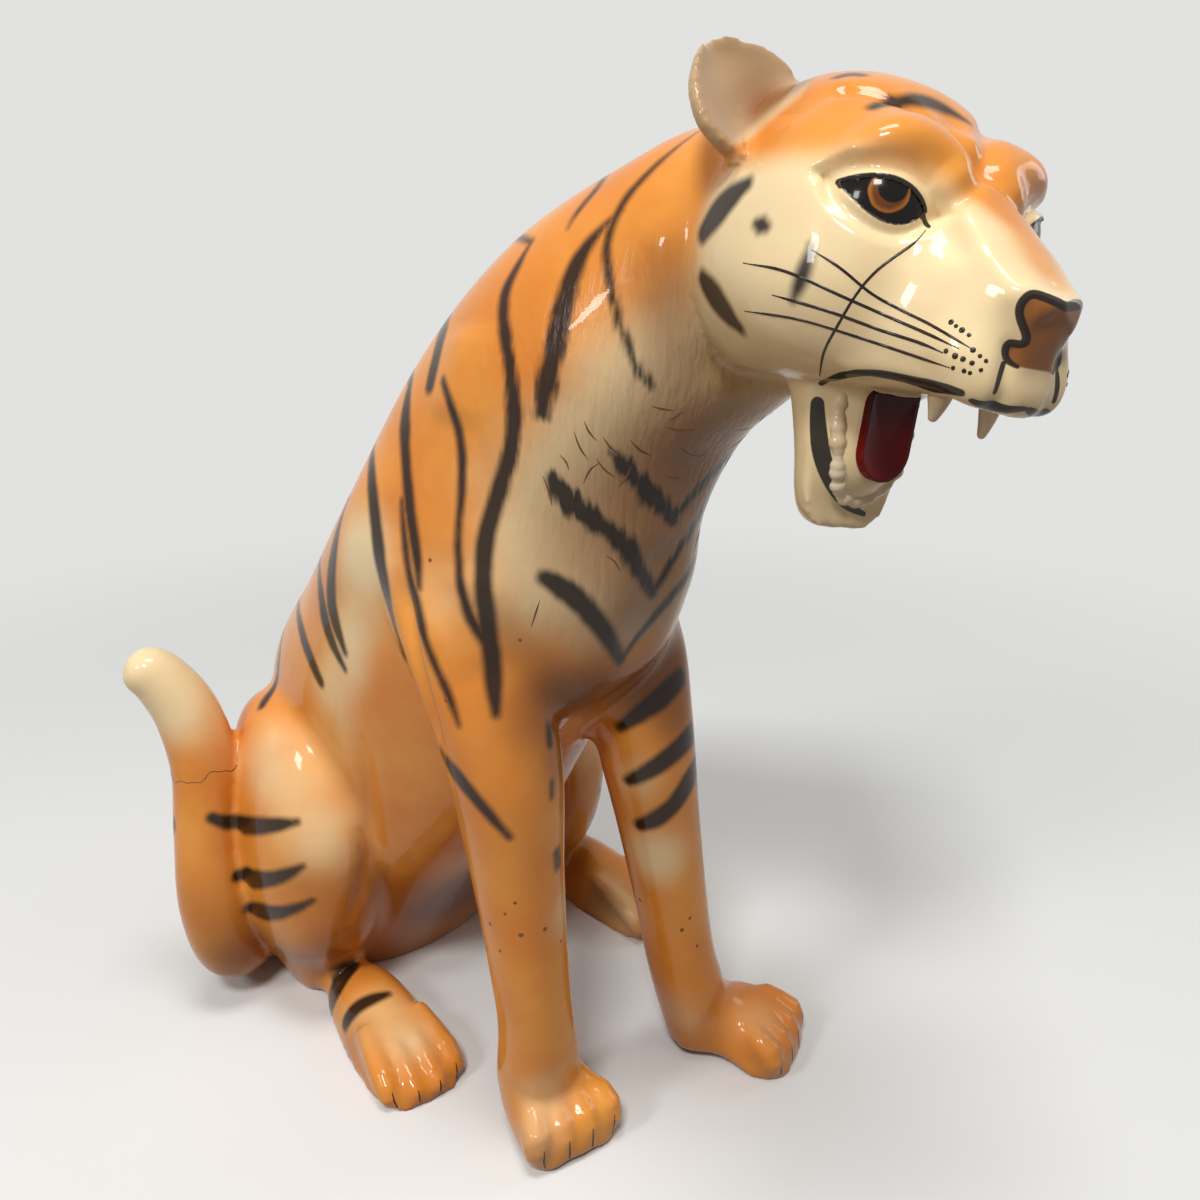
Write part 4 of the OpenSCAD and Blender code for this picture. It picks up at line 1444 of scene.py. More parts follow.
def new_glaze(name, roughness=0.25, coat=0.38):
    material = bpy.data.materials.new(name)
    material.use_nodes = True
    tree = material.node_tree
    shader = tree.nodes["Principled BSDF"]
    shader.inputs["Roughness"].default_value = roughness
    shader.inputs["Coat Weight"].default_value = coat
    shader.inputs["Coat Roughness"].default_value = 0.03
    shader.inputs["Specular IOR Level"].default_value = 0.1
    return material, tree, shader


def mixed(tree, factor, first, second):
    """A colour mix whose inputs are sockets or colours."""
    node = tree.nodes.new("ShaderNodeMix")
    node.data_type = "RGBA"
    for index, value in ((0, factor), (6, first), (7, second)):
        feed(tree, node.inputs[index], value)
    return node.outputs[2]


def worked(tree, operation, *values):
    node = tree.nodes.new("ShaderNodeMath")
    node.operation = operation
    for index, value in enumerate(values):
        feed(tree, node.inputs[index], value)
    return node.outputs[0]


def swing(tree, value, size):
    """A noise turned into one that swings to both sides of zero."""
    return worked(tree, "MULTIPLY", worked(tree, "SUBTRACT", value, 0.5), size)


def ranged(tree, value, low, high, to_low=0.0, to_high=1.0):
    node = tree.nodes.new("ShaderNodeMapRange")
    node.interpolation_type = "SMOOTHSTEP"
    tree.links.new(value, node.inputs["Value"])
    for name, number in (("From Min", low), ("From Max", high), ("To Min", to_low), ("To Max", to_high)):
        node.inputs[name].default_value = number
    return node.outputs["Result"]


def noise(tree, scale, detail=2.0, stretch=None):
    place = tree.nodes.new("ShaderNodeTexCoord").outputs["Object"]
    if stretch:
        place = add_node(tree, "ShaderNodeMapping", Scale=stretch, Vector=place).outputs["Vector"]
    node = add_node(tree, "ShaderNodeTexNoise", Scale=scale, Detail=detail, Vector=place)
    return node.outputs["Fac"]


def painted(tree, name):
    node = tree.nodes.new("ShaderNodeAttribute")
    node.attribute_name = name
    return node.outputs["Fac"]


def tiger_glaze(name, paint):
    """Airbrushed amber and cream under clear glaze, with brushed stripes."""
    material, tree, shader = new_glaze(name)
    mottle = ranged(tree, noise(tree, 9.0, 4.0), 0.3, 0.7)
    amber = mixed(tree, mottle, linear(paint.amber), linear(paint.deep_amber))
    cream_share = worked(tree, "ADD", painted(tree, "cream"), swing(tree, noise(tree, 14.0, 3.0), 0.5))
    body = mixed(tree, ranged(tree, cream_share, 0.1, 0.9), amber, linear(paint.cream))
    # Brown wash and painted shade, from the brown clouds
    body = mixed(tree, ranged(tree, painted(tree, "brown"), 0.0, 1.0), body, linear(paint.brown))
    wander = swing(tree, noise(tree, 60.0, 3.0), 2.4)
    strokes = noise(tree, 210.0, 2.0, (1.0, 1.0, 0.2))
    fur = painted(tree, "fur")
    combing = swing(tree, strokes, worked(tree, "POWER", fur, 3.0))
    hairy = worked(tree, "MULTIPLY", combing, 16.0)
    edge = worked(tree, "ADD", worked(tree, "ADD", painted(tree, "stripe"), wander), hairy)
    soft = paint.stripe_edge / MM / 2
    stripe = ranged(tree, edge, -soft, soft, 0.96, 0.0)
    body = mixed(tree, ranged(tree, painted(tree, "nose"), 0.3, 0.7), body, linear(paint.nose))
    band = ranged(tree, painted(tree, "band"), -0.3, 0.4, 0.97, 0.0)
    dark = worked(tree, "MAXIMUM", stripe, band)
    coloured = mixed(tree, dark, body, linear(paint.stripe))
    tree.links.new(coloured, shader.inputs["Base Color"])
    ripple = add_node(
        tree, "ShaderNodeBump", Strength=0.08, Distance=0.004, Height=noise(tree, 40.0, 2.0))
    combed = add_node(
        tree, "ShaderNodeBump", Strength=0.55, Distance=paint.fur_depth,
        Height=worked(tree, "MULTIPLY", strokes, fur), Normal=ripple.outputs["Normal"])
    tree.links.new(combed.outputs["Normal"], shader.inputs["Normal"])
    return material


def eye_glaze(eyes):
    """Black glaze with an amber iris round a black pupil."""
    material, tree, shader = new_glaze("eye_glaze", 0.2, 0.3)
    gap = worked(tree, "ADD", painted(tree, "iris"), swing(tree, noise(tree, 220.0, 2.0), 1.2))
    black, pupil_r, iris_r = linear(eyes.pupil), eyes.pupil_r / MM, eyes.iris_r / MM
    amber = mixed(tree, ranged(tree, gap, pupil_r, iris_r), linear(eyes.iris_deep), linear(eyes.iris))
    off_pupil = worked(tree, "SUBTRACT", painted(tree, "pupil"), pupil_r)
    ring = mixed(tree, ranged(tree, off_pupil, -0.4, 0.4), black, amber)
    coloured = mixed(tree, ranged(tree, gap, iris_r - 0.6, iris_r + 0.4), ring, black)
    tree.links.new(coloured, shader.inputs["Base Color"])
    return material


def mottled_glaze(name, light, dark, scale, shade=None, coat=0.38):
    """A glaze of two close tones, with a painted shadow in the shade colour where a piece marks one."""
    material, tree, shader = new_glaze(name, coat=coat)
    coloured = mixed(tree, ranged(tree, noise(tree, scale, 3.0), 0.35, 0.65), linear(light), linear(dark))
    # Painted shadow, mixed in where the piece marks it
    if shade:
        coloured = mixed(tree, painted(tree, "painted_shadow"), coloured, linear(shade))
    tree.links.new(coloured, shader.inputs["Base Color"])
    bump = add_node(
        tree, "ShaderNodeBump", Strength=0.15, Distance=0.002, Height=noise(tree, 90.0, 2.0))
    tree.links.new(bump.outputs["Normal"], shader.inputs["Normal"])
    return material


# Repeated pieces made with nodes

class NodeRecipe:
    """A geometry node tree with named inputs that ends in real, coloured geometry."""

    def __init__(self, name, sizes):
        self.tree = bpy.data.node_groups.new(name, "GeometryNodeTree")
        face = self.tree.interface
        face.new_socket("Geometry", in_out="INPUT", socket_type="NodeSocketGeometry")
        for size, (kind, value) in sizes.items():
            socket = face.new_socket(size, in_out="INPUT", socket_type="NodeSocket" + kind)
            socket.default_value = value
        face.new_socket("Material", in_out="INPUT", socket_type="NodeSocketMaterial")
        face.new_socket("Geometry", in_out="OUTPUT", socket_type="NodeSocketGeometry")
        self.given = self.tree.nodes.new("NodeGroupInput")

    def node(self, kind, links=None, **settings):
        node = self.tree.nodes.new(kind)
        for name, value in settings.items():
            setattr(node, name, value)
        for name, value in (links or {}).items():
            feed(self.tree, node.inputs[name], value)
        return node

    def stored(self, name, kind):
        node = self.node("GeometryNodeInputNamedAttribute", {"Name": name}, data_type=kind)
        return node.outputs["Attribute"]

    def finish(self, geometry):
        real = self.node("GeometryNodeRealizeInstances", {"Geometry": geometry})
        smooth = self.node("GeometryNodeSetShadeSmooth", {"Geometry": real.outputs[0]})
        coloured = self.node("GeometryNodeSetMaterial", {
            "Geometry": smooth.outputs[0], "Material": self.given.outputs["Material"]})
        out = self.tree.nodes.new("NodeGroupOutput")
        self.tree.links.new(coloured.outputs[0], out.inputs[0])

    def made(self, name, mesh, **values):
        """The plain mesh that the tree makes from a mesh."""
        obj = shown(name, mesh)
        modifier = obj.modifiers.new(self.tree.name, "NODES")
        modifier.node_group = self.tree
        for item in self.tree.interface.items_tree:
            if item.in_out == "INPUT" and item.name in values:
                modifier[item.identifier] = values[item.name]
        result = baked(obj)
        result.name = name
        return shown(name, result)


def line_recipe():
    """Round lines of paint along the edges of a mesh, as thick as their brush."""
    recipe = NodeRecipe("painted_line", {"Spacing": ("Float", 0.0015), "Sides": ("Int", 8)})
    curve = recipe.node("GeometryNodeMeshToCurve", {"Mesh": recipe.given.outputs["Geometry"]})
    even = recipe.node("GeometryNodeResampleCurve", {
        "Curve": curve.outputs[0], "Length": recipe.given.outputs["Spacing"]}, mode="LENGTH")
    thick = recipe.node("GeometryNodeSetCurveRadius", {
        "Curve": even.outputs[0], "Radius": recipe.stored("brush", "FLOAT")})
    round_brush = recipe.node("GeometryNodeCurvePrimitiveCircle", {
        "Resolution": recipe.given.outputs["Sides"], "Radius": 1.0})
    stroke = recipe.node("GeometryNodeCurveToMesh", {
        "Curve": thick.outputs[0], "Profile Curve": round_brush.outputs[0], "Fill Caps": True})
    if "Scale" in stroke.inputs:
        recipe.tree.links.new(recipe.stored("brush", "FLOAT"), stroke.inputs["Scale"])
    recipe.finish(stroke.outputs[0])
    return recipe


def dot_recipe():
    """Flat dots of paint that lie on the skin."""
    recipe = NodeRecipe("painted_dot", {"Flatness": ("Float", 0.3), "Seed": ("Int", 5)})
    blob = recipe.node("GeometryNodeMeshIcoSphere", {"Radius": 1.0, "Subdivisions": 2})
    turn = recipe.node("FunctionNodeAlignRotationToVector", {
        "Vector": recipe.stored("facing", "FLOAT_VECTOR")}, axis="Z")
    varied = recipe.node("FunctionNodeRandomValue", {
        2: 0.75, 3: 1.2, "Seed": recipe.given.outputs["Seed"]}, data_type="FLOAT")
    size = recipe.node("ShaderNodeMath", {
        0: recipe.stored("brush", "FLOAT"), 1: varied.outputs[1]}, operation="MULTIPLY")
    flat = recipe.node("ShaderNodeMath", {
        0: size.outputs[0], 1: recipe.given.outputs["Flatness"]}, operation="MULTIPLY")
    scale = recipe.node("ShaderNodeCombineXYZ", {
        "X": size.outputs[0], "Y": size.outputs[0], "Z": flat.outputs[0]})
    placed = recipe.node("GeometryNodeInstanceOnPoints", {
        "Points": recipe.given.outputs["Geometry"], "Instance": blob.outputs["Mesh"],
        "Rotation": turn.outputs[0], "Scale": scale.outputs[0]})
    recipe.finish(placed.outputs[0])
    return recipe


def tooth_recipe():
    """Lumps of clay in a row along a curve."""
    recipe = NodeRecipe("tooth_row", {
        "Count": ("Int", 22), "Size": ("Float", 0.0055), "Variation": ("Float", 0.3), "Seed": ("Int", 3)})
    curve = recipe.node("GeometryNodeMeshToCurve", {"Mesh": recipe.given.outputs["Geometry"]})
    even = recipe.node("GeometryNodeResampleCurve", {
        "Curve": curve.outputs[0], "Count": recipe.given.outputs["Count"]}, mode="COUNT")
    lump = recipe.node("GeometryNodeMeshIcoSphere", {
        "Radius": recipe.given.outputs["Size"], "Subdivisions": 3})
    least = recipe.node("ShaderNodeMath", {
        0: 1.0, 1: recipe.given.outputs["Variation"]}, operation="SUBTRACT")
    varied = recipe.node("FunctionNodeRandomValue", {
        2: least.outputs[0], 3: 1.1, "Seed": recipe.given.outputs["Seed"]}, data_type="FLOAT")
    placed = recipe.node("GeometryNodeInstanceOnPoints", {
        "Points": even.outputs[0], "Instance": lump.outputs["Mesh"], "Scale": varied.outputs[1]})
    recipe.finish(placed.outputs[0])
    return recipe


def line_mesh(name, courses):
    """A mesh of edges along courses of points, normals and half widths in mm."""
    points, edges, brush, facing = [], [], [], []
    for line, normals, half in courses:
        half = np.broadcast_to(np.asarray(half, float), len(line))
        radius = half / 0.8
        start = len(points)
        points.extend(line - normals * (0.6 * radius)[:, None])
        edges.extend((start + i, start + i + 1) for i in range(len(line) - 1))
        brush.extend(radius * MM)
        facing.extend(normals)
    return pointed_mesh(name, points, edges, brush, facing)


def pointed_mesh(name, points, edges, brush, facing):
    mesh = bpy.data.meshes.new(name)
    mesh.from_pydata(to_scene(points).tolist(), edges, [])
    store(mesh, "brush", brush)
    layer = mesh.attributes.new("facing", "FLOAT_VECTOR", "POINT")
    layer.data.foreach_set("vector", np.asarray(facing, np.float32).ravel())
    return mesh


# Eyes and mouth

def dome_faces(count, levels):
    """Faces from a middle point over its loops to a back loop and a point behind them."""
    faces = [(0, 1 + k, 1 + (k + 1) % count) for k in range(count)]
    for i in range(levels):
        a, b = 1 + i * count, 1 + (i + 1) * count
        for k in range(count):
            j = (k + 1) % count
            faces.append((a + k, b + k, b + j, a + j))
    last = 1 + levels * count
    faces.extend((last + (k + 1) % count, last + k, last + count) for k in range(count))
    return faces


def eye_mesh(name, side, iris_at):
    """A domed almond with a flat back, and each point's distance from the middles of iris and pupil."""
    count, levels = 64, 14
    rim = almond_rim(count, EYE_UNDER)
    loops = []
    for share in np.linspace(1 / levels, 1, levels):
        flat = rim * share
        loops.append(np.column_stack([flat, ball_height(flat[:, 0], flat[:, 1])]))
    back = np.column_stack([rim, np.full(count, -EYE_SINK)])
    top = np.array([[0, 0, EYE_STAND]])
    under = np.array([[0, 0, -EYE_SINK]])
    local = np.vstack([top] + loops + [back, under])
    faces = dome_faces(count, levels)
    if side < 0:
        faces = [f[::-1] for f in faces]
    mesh = new_mesh(name, head_to_statue(eye_to_head(local, side)), faces)
    mesh.polygons.foreach_set("use_smooth", np.arange(len(faces)) < len(faces) - 2 * count)
    store(mesh, "iris", np.linalg.norm(local[:, :2] - iris_at, axis=1))
    store(mesh, "pupil", np.linalg.norm(local[:, :2] - iris_at - PUPIL_LIFT, axis=1))
    return mesh


def lining_mesh():
    """The red wall of the mouth: a slab with a round lower end and a dished front."""
    straight = LINING_DROP - LINING_HALF_W
    arc = np.linspace(0, -math.pi, 33)
    top = [(x, 0.0) for x in np.linspace(-LINING_HALF_W, LINING_HALF_W, 12)[:-1]]
    right = [(LINING_HALF_W, z) for z in np.linspace(0, -straight, 12)[:-1]]
    low = [(LINING_HALF_W * math.cos(t), -straight + LINING_HALF_W * math.sin(t)) for t in arc]
    left = [(-LINING_HALF_W, z) for z in np.linspace(-straight, 0, 12)[1:-1]]
    rim = np.array(top + right + low + left)
    middle = np.array([0.0, -straight])
    count, levels = len(rim), 8
    loops = []
    for share in np.linspace(1 / levels, 1, levels):
        flat = middle + (rim - middle) * share
        front = JAW_FRONT - LINING_T + LINING_DISH * (1 - share**2)
        loops.append(np.column_stack([flat[:, 0], np.full(count, front), PALATE_Z + flat[:, 1]]))
    behind = JAW_FRONT + LINING_ROOT
    back = np.column_stack([rim[:, 0], np.full(count, behind), PALATE_Z + rim[:, 1]])
    hub = np.array([[middle[0], JAW_FRONT - LINING_T + LINING_DISH, PALATE_Z + middle[1]]])
    under = np.array([[middle[0], behind, PALATE_Z + middle[1]]])
    local = np.vstack([hub] + loops + [back, under])
    faces = dome_faces(count, levels)
    mesh = new_mesh("mouth_lining", head_to_statue(local), faces)
    mesh.polygons.foreach_set("use_smooth", np.arange(len(faces)) < levels * count)
    # Painted shadow of the upper jaw: the red darkens towards the top of the mouth
    store(mesh, "painted_shadow", eased(local[:, 2], PALATE_Z - LINING_SHADE, PALATE_Z))
    return mesh


def tooth_course(count):
    """Places along the row of lower teeth, down one side of the jaw and up the other."""
    a = np.linspace(0, math.pi, count)
    x = TEETH_HALF_W * squared(np.cos(a), JAW_ROUNDNESS)
    fall = TOOTH_R + (TEETH_DROP - TOOTH_R) * squared(np.sin(a), JAW_ROUNDNESS)
    return np.column_stack([x, jaw_slope(x, fall) + TOOTH_ROOT, PALATE_Z - fall])


def fang_mesh(name, side, length):
    """A fang with a blunt tip that bends back a little."""
    x, y = side * FANG_AT[0], FANG_AT[1]
    course = [(x, y - 1, PALATE_Z + FANG_ROOT, FANG_R), (x, y, PALATE_Z, FANG_R)]
    for share, bend, radius in FANG_PROFILE:
        course.append((x, y + bend, PALATE_Z - share * length, FANG_R * radius))
    rings = tube_rings(course, 4, 24)
    return loft_mesh(name, head_to_statue(rings.reshape(-1, 3)).reshape(rings.shape))


def loft_mesh(name, rings):
    n, sides = rings.shape[:2]
    faces = loft_faces(0, n, sides)
    faces.append(tuple(range(sides))[::-1])
    faces.append(tuple((n - 1) * sides + k for k in range(sides)))
    mesh = new_mesh(name, rings.reshape(-1, 3), faces)
    turned_out(mesh)
    mesh.polygons.foreach_set("use_smooth", np.arange(len(faces)) < len(faces) - 2)
    return mesh


def turned_out(mesh):
    work = bmesh.new()
    work.from_mesh(mesh)
    bmesh.ops.recalc_face_normals(work, faces=work.faces)
    work.to_mesh(mesh)
    work.free()


def finished(obj, slot, *nodes):
    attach(obj, "root")
    if nodes:
        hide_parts(*nodes)
    return obj


def colour(name, description, red, green, blue):
    """A colour to choose, written as it looks from 0 to 255."""
    return bpy.props.FloatVectorProperty(
        name=name, description=description, subtype="COLOR_GAMMA", size=3, min=0.0, max=1.0,
        default=(red / 255, green / 255, blue / 255),
    )


def length(name, description, default, low, high):
    """A length to choose, in metres."""
    return bpy.props.FloatProperty(
        name=name, description=description, default=default, min=low, max=high,
        precision=4, subtype="DISTANCE", unit="LENGTH",
    )


class TigerFormSettings(bpy.types.PropertyGroup):
    """Sizes of the modelled skin"""

    voxel: length("Clay grain", "Size of the grid that joins the forms", 0.0028, 0.0018, 0.006)
    lid_h: length("Lid height", "How far the lids stand out round an eye", 0.0009, 0.0, 0.003)
    folds: bpy.props.FloatProperty(
        name="Folds", description="How strongly brows, muzzle and muscles are modelled",
        default=1.0, min=0.0, max=1.5, subtype="FACTOR",
    )


class TigerPaintSettings(bpy.types.PropertyGroup):
    """Colours and brushes of the painted skin"""

    amber: colour("Amber", "Airbrushed colour of back and legs", 232, 156, 66)
    deep_amber: colour("Deep amber", "Darker tone that mottles the amber", 214, 128, 46)
    cream: colour("Cream", "Colour of face, throat, chest and flanks", 236, 211, 164)
    # The brown wash also serves as painted shade in creases, under the chest and on the belly
    brown: colour("Brown wash", "Brown sprayed into hollows", 128, 74, 28)
    stripe: colour("Stripes", "Colour of the brushed stripes", 24, 15, 13)
    nose: colour("Nose", "Colour of the nose leather", 146, 90, 42)
    line: colour("Lines", "Lighter tone of the thin lines", 58, 40, 32)
    hair: colour("Hairs", "Colour of the short hairs on the chest", 92, 64, 36)
    speck: colour("Specks", "Colour of the specks from the firing", 134, 80, 36)
    stripe_edge: length("Stripe edge", "Width over which a stripe fades out", 0.007, 0.001, 0.012)
    fur_depth: length("Fur depth", "Depth of the strokes of fur in the clay", 0.0022, 0.0, 0.005)
    hair_r: length("Hair thickness", "Half width of a brushed hair", 0.0007, 0.0004, 0.002)
    claw_r: length("Claw lines", "Half width of the line on a toe", 0.0008, 0.0004, 0.002)
    crack_r: length("Crack", "Half width of the crack round the tail", 0.00045, 0.0002, 0.001)
    dot_r: length("Whisker dots", "Radius of a dot at the root of a whisker", 0.0013, 0.0005, 0.003)
    speck_r: length("Specks", "Radius of a firing speck", 0.0017, 0.0005, 0.004)


class TigerEyeSettings(bpy.types.PropertyGroup):
    """Colours and sizes of the eyes"""

    iris: colour("Iris", "Amber of the iris", 172, 104, 38)
    iris_deep: colour("Inner iris", "Amber of the iris next to the pupil", 104, 56, 18)
    pupil: colour("Pupil", "Black of the pupil and of the eye round the iris", 14, 10, 9)
    iris_r: length("Iris radius", "Radius of the amber iris", 0.0100, 0.005, 0.012)
    pupil_r: length("Pupil radius", "Radius of the black pupil", 0.0072, 0.002, 0.009)


class TigerMouthSettings(bpy.types.PropertyGroup):
    """Colours and sizes of the mouth"""

    red: colour("Red", "Red of the wall of the mouth", 112, 6, 5)
    red_deep: colour("Deep red", "Darker tone that mottles the red", 92, 4, 4)
    red_dark: colour("Shaded red", "Red high up in the mouth", 52, 4, 4)
    tooth: colour("Teeth", "Off-white of the teeth", 232, 214, 184)
    tooth_deep: colour("Deep teeth", "Darker tone that mottles the teeth", 214, 188, 148)
    tooth_count: bpy.props.IntProperty(
        name="Teeth", description="Number of lumps in the row of lower teeth",
        default=34, min=12, max=48,
    )
    tooth_r: length("Tooth size", "Radius of a lump in the row of lower teeth", 0.0050, 0.004, 0.0065)
    tooth_variation: bpy.props.FloatProperty(
        name="Tooth variation", description="How much the lumps differ in size",
        default=0.35, min=0.0, max=0.6, subtype="FACTOR",
    )


class TigerStageSettings(bpy.types.PropertyGroup):
    """Light and floor round the statue"""

    key_power: bpy.props.FloatProperty(
        name="Key light", description="Power that all the lamps follow",
        default=8.0, min=0.0, max=200.0, subtype="POWER", unit="POWER",
    )
    fill: bpy.props.FloatProperty(
        name="Fill light", description="Strength of the soft light from all round",
        default=0.24, min=0.0, max=1.0,
    )
    floor_pale: colour("Floor", "Colour of floor and backdrop as they are seen", 226, 226, 224)
    floor_dark: colour("Floor shade", "Colour of the floor for the light that it throws back", 120, 108, 96)


class TIGER_OT_skin(bpy.types.Operator):
    """Forms the skin of the statue and cuts it into its luted pieces"""

    bl_idname = "tiger.skin"
    bl_label = "Form the skin"

    def execute(self, context):
        form = context.scene.tiger_form
        mesh, nodes = formed_skin(form.voxel)
        labels = finer_head(mesh, nodes)
        sculpt_body(mesh, Cast(mesh), form.folds)
        sculpt_head(mesh, labels, Cast(mesh), form.folds, form.lid_h / MM)
        trimmed(mesh)
        paint = painted_skin(mesh, Cast(mesh))
        glazes = {
            "amber_glaze": tiger_glaze("amber_glaze", context.scene.tiger_paint),
            "cream_glaze": tiger_glaze("cream_glaze", context.scene.tiger_paint),
        }
        for node, piece in closed_pieces(mesh, labels, paint).items():
            slot = SLOTS.get(node, "amber_glaze")
            piece.materials.append(glazes[slot])
            finished(shown(node + "_skin", piece), slot, node)
        mesh.name = WHOLE_SKIN
        return {"FINISHED"}


def whole_skin():
    """The skin before it was cut into pieces, which eyes and lines are laid on."""
    mesh = bpy.data.meshes.get(WHOLE_SKIN)
    if mesh is None:
        raise RuntimeError("the skin has to be formed first")
    return mesh


class TIGER_OT_eyes(bpy.types.Operator):
    """Sets the two glass-like eyes behind their lids"""

    bl_idname = "tiger.eyes"
    bl_label = "Set the eyes"

    def execute(self, context):
        cast = Cast(whole_skin())
        seen = statue_to_head(cast.at(IRIS_PLACE)[0][None])
        iris_at = head_to_eye(seen, -1)[0, :2]
        glaze = eye_glaze(context.scene.tiger_eyes)
        for node, side in (("left_eye", 1), ("right_eye", -1)):
            mesh = eye_mesh(node, side, iris_at)
            mesh.materials.append(glaze)
            finished(shown(node + "_dome", mesh), "eye_glaze", node)
        return {"FINISHED"}


def teeth_row(settings, glaze):
    """The lower teeth as one lumpy row."""
    course = head_to_statue(tooth_course(60))
    path = bpy.data.meshes.new("tooth_path")
    path.from_pydata(to_scene(course).tolist(), [(i, i + 1) for i in range(len(course) - 1)], [])
    lumps = tooth_recipe().made(
        "lower_teeth_row", path, Count=settings.tooth_count, Size=settings.tooth_r,
        Variation=settings.tooth_variation, Seed=7, Material=glaze)
    add_remesh(lumps, TEETH_GRAIN).use_smooth_shade = True
    soften = lumps.modifiers.new("soften", "SMOOTH")
    soften.factor = 0.5
    soften.iterations = 3
    row = baked(lumps)
    row.materials.clear()
    return row


class TIGER_OT_mouth(bpy.types.Operator):
    """Models the red wall of the mouth, the row of lower teeth and the fangs"""

    bl_idname = "tiger.mouth"
    bl_label = "Model the mouth"

    def execute(self, context):
        settings = context.scene.tiger_mouth
        red = mottled_glaze("red_glaze", settings.red, settings.red_deep, 30.0, settings.red_dark, 0.05)
        mesh = lining_mesh()
        mesh.materials.append(red)
        finished(shown("mouth_lining_wall", mesh), "red_glaze", "mouth_lining")
        white = mottled_glaze("white_glaze", settings.tooth, settings.tooth_deep, 45.0)
        mesh = teeth_row(settings, white)
        mesh.materials.append(white)
        finished(shown("lower_teeth_row", mesh), "white_glaze", "lower_teeth")
        for node, side in (("left_fang", 1), ("right_fang", -1)):
            mesh = fang_mesh(node, side, FANG_LENGTHS[node])
            mesh.materials.append(white)
            finished(shown(node + "_tooth", mesh), "white_glaze", node)
        return {"FINISHED"}


def tapered(count, start, fullness, least):
    """Share of the brush along a stroke that thins out at both ends."""
    return np.clip(np.sin(np.linspace(start, math.pi - start, count)) * fullness, least, 1)


def face_courses(cast):
    """Tear lines and whiskers on both sides of the face."""
    found = []
    for half, places in HEAD_LINES.values():
        line, normals = cast.along(places)
        brush = half * tapered(len(line), 0.12, 2.2, 0.4)
        found.append((line, normals, brush))
        found.append((*cast.snapped(other_side_of_head(line)), brush))
    return found


def hair_courses(cast, half):
    """Short hairs, with a twin beyond the middle where there is room for it."""
    found = []
    for places in HAIR_LINES:
        line, normals = cast.along(places, 3.0)
        brush = half * tapered(len(line), 0.15, 1.0, 0.25)
        found.append((line, normals, brush))
        twin = line.copy()
        twin[:, 0] = 2 * torso_middle(line) + HAIR_SHIFT - line[:, 0]
        twin, twin_normals = cast.snapped(twin)
        if np.linalg.norm(twin - line, axis=1).min() > HAIR_ROOM:
            found.append((twin, twin_normals, brush))
    return found


def claw_courses(cast, half):
    """The dark line on each toe, thinner at its upper end."""
    count = 12
    brush = half * np.clip(np.linspace(0.5, 1.6, count), 0, 1)
    ends = [pair for place in PAWS.values() for pair in claw_places(place)]
    return [(*cast.snapped(np.linspace(start, end, count)), brush) for start, end in ends]


def lay_lines(recipe, name, courses, glaze):
    finished(recipe.made(name, line_mesh(name, courses), Material=glaze), "amber_glaze")


def lay_dots(recipe, name, spots, radius, **values):
    line, normals = spots
    mesh = pointed_mesh(name, line, [], np.full(len(line), radius), normals)
    finished(recipe.made(name, mesh, **values), "amber_glaze")


class TIGER_OT_lines(bpy.types.Operator):
    """Paints the thin lines, dots and specks"""

    bl_idname = "tiger.lines"
    bl_label = "Paint the lines"

    def execute(self, context):
        paint = context.scene.tiger_paint
        whole = whole_skin()
        cast = Cast(whole)
        black = mottled_glaze("brushed_black", paint.stripe, paint.line, 60.0)
        brown = mottled_glaze("brushed_brown", paint.hair, paint.brown, 60.0)
        fired = mottled_glaze("fired_specks", paint.speck, paint.brown, 60.0)
        recipe, dots = line_recipe(), dot_recipe()
        lay_lines(recipe, "face_lines", face_courses(cast), black)
        lay_lines(recipe, "chest_hairs", hair_courses(cast, paint.hair_r / MM), brown)
        lay_lines(recipe, "claw_lines", claw_courses(cast, paint.claw_r / MM), black)
        crack = (*cast.snapped(crack_course()), paint.crack_r / MM)
        lay_lines(recipe, "tail_crack", [crack], brown)
        near, _ = parted([cast.at(place) for place in WHISKER_DOTS])
        roots = cast.snapped(np.vstack([near, other_side_of_head(near)]))
        lay_dots(dots, "whisker_dots", roots, paint.dot_r, Seed=4, Material=black)
        specks = parted([cast.at(place) for place in SPECKS])
        lay_dots(dots, "firing_specks", specks, paint.speck_r, Flatness=0.12, Seed=9, Material=fired)
        bpy.data.meshes.remove(whole)
        return {"FINISHED"}


def aimed(name, data, at, toward):
    """A lamp or camera at a place, looking along a direction."""
    obj = bpy.data.objects.new(name, data)
    obj.location = at
    obj.rotation_mode = "QUATERNION"
    obj.rotation_quaternion = Vector(toward).to_track_quat("-Z", "Y")
    bpy.context.scene.collection.objects.link(obj)
    return obj


def area_lamp(name, at, size, power):
    data = bpy.data.lights.new(name, "AREA")
    data.shape = "RECTANGLE"
    data.size, data.size_y = size
    data.energy = power
    aimed(name, data, at, Vector(LAMP_TARGET) - Vector(at))


def photo_camera():
    data = bpy.data.cameras.new("photo_camera")
    data.sensor_width = SENSOR_W
    data.lens = FOCAL_PX / PHOTO_SIZE * SENSOR_W
    data.clip_start, data.clip_end = 0.01, 50
    back, _, _ = photo_axes()
    return aimed("photo_camera", data, to_scene(CAMERA_AT), -back)


def floor_mesh():
    half = FLOOR_HALF
    mesh = bpy.data.meshes.new("floor")
    corners = [(-half, -half, 0), (half, -half, 0), (half, half, 0), (-half, half, 0)]
    mesh.from_pydata(corners, [], [(0, 1, 2, 3)])
    return mesh


def seen_directly(tree):
    """1 for what the camera sees itself, in a mirror or through glass, and 0 for scattered light."""
    path = tree.nodes.new("ShaderNodeLightPath")
    mirrored = worked(tree, "MAXIMUM", path.outputs["Is Glossy Ray"], path.outputs["Is Transmission Ray"])
    return worked(tree, "MAXIMUM", path.outputs["Is Camera Ray"], mirrored)


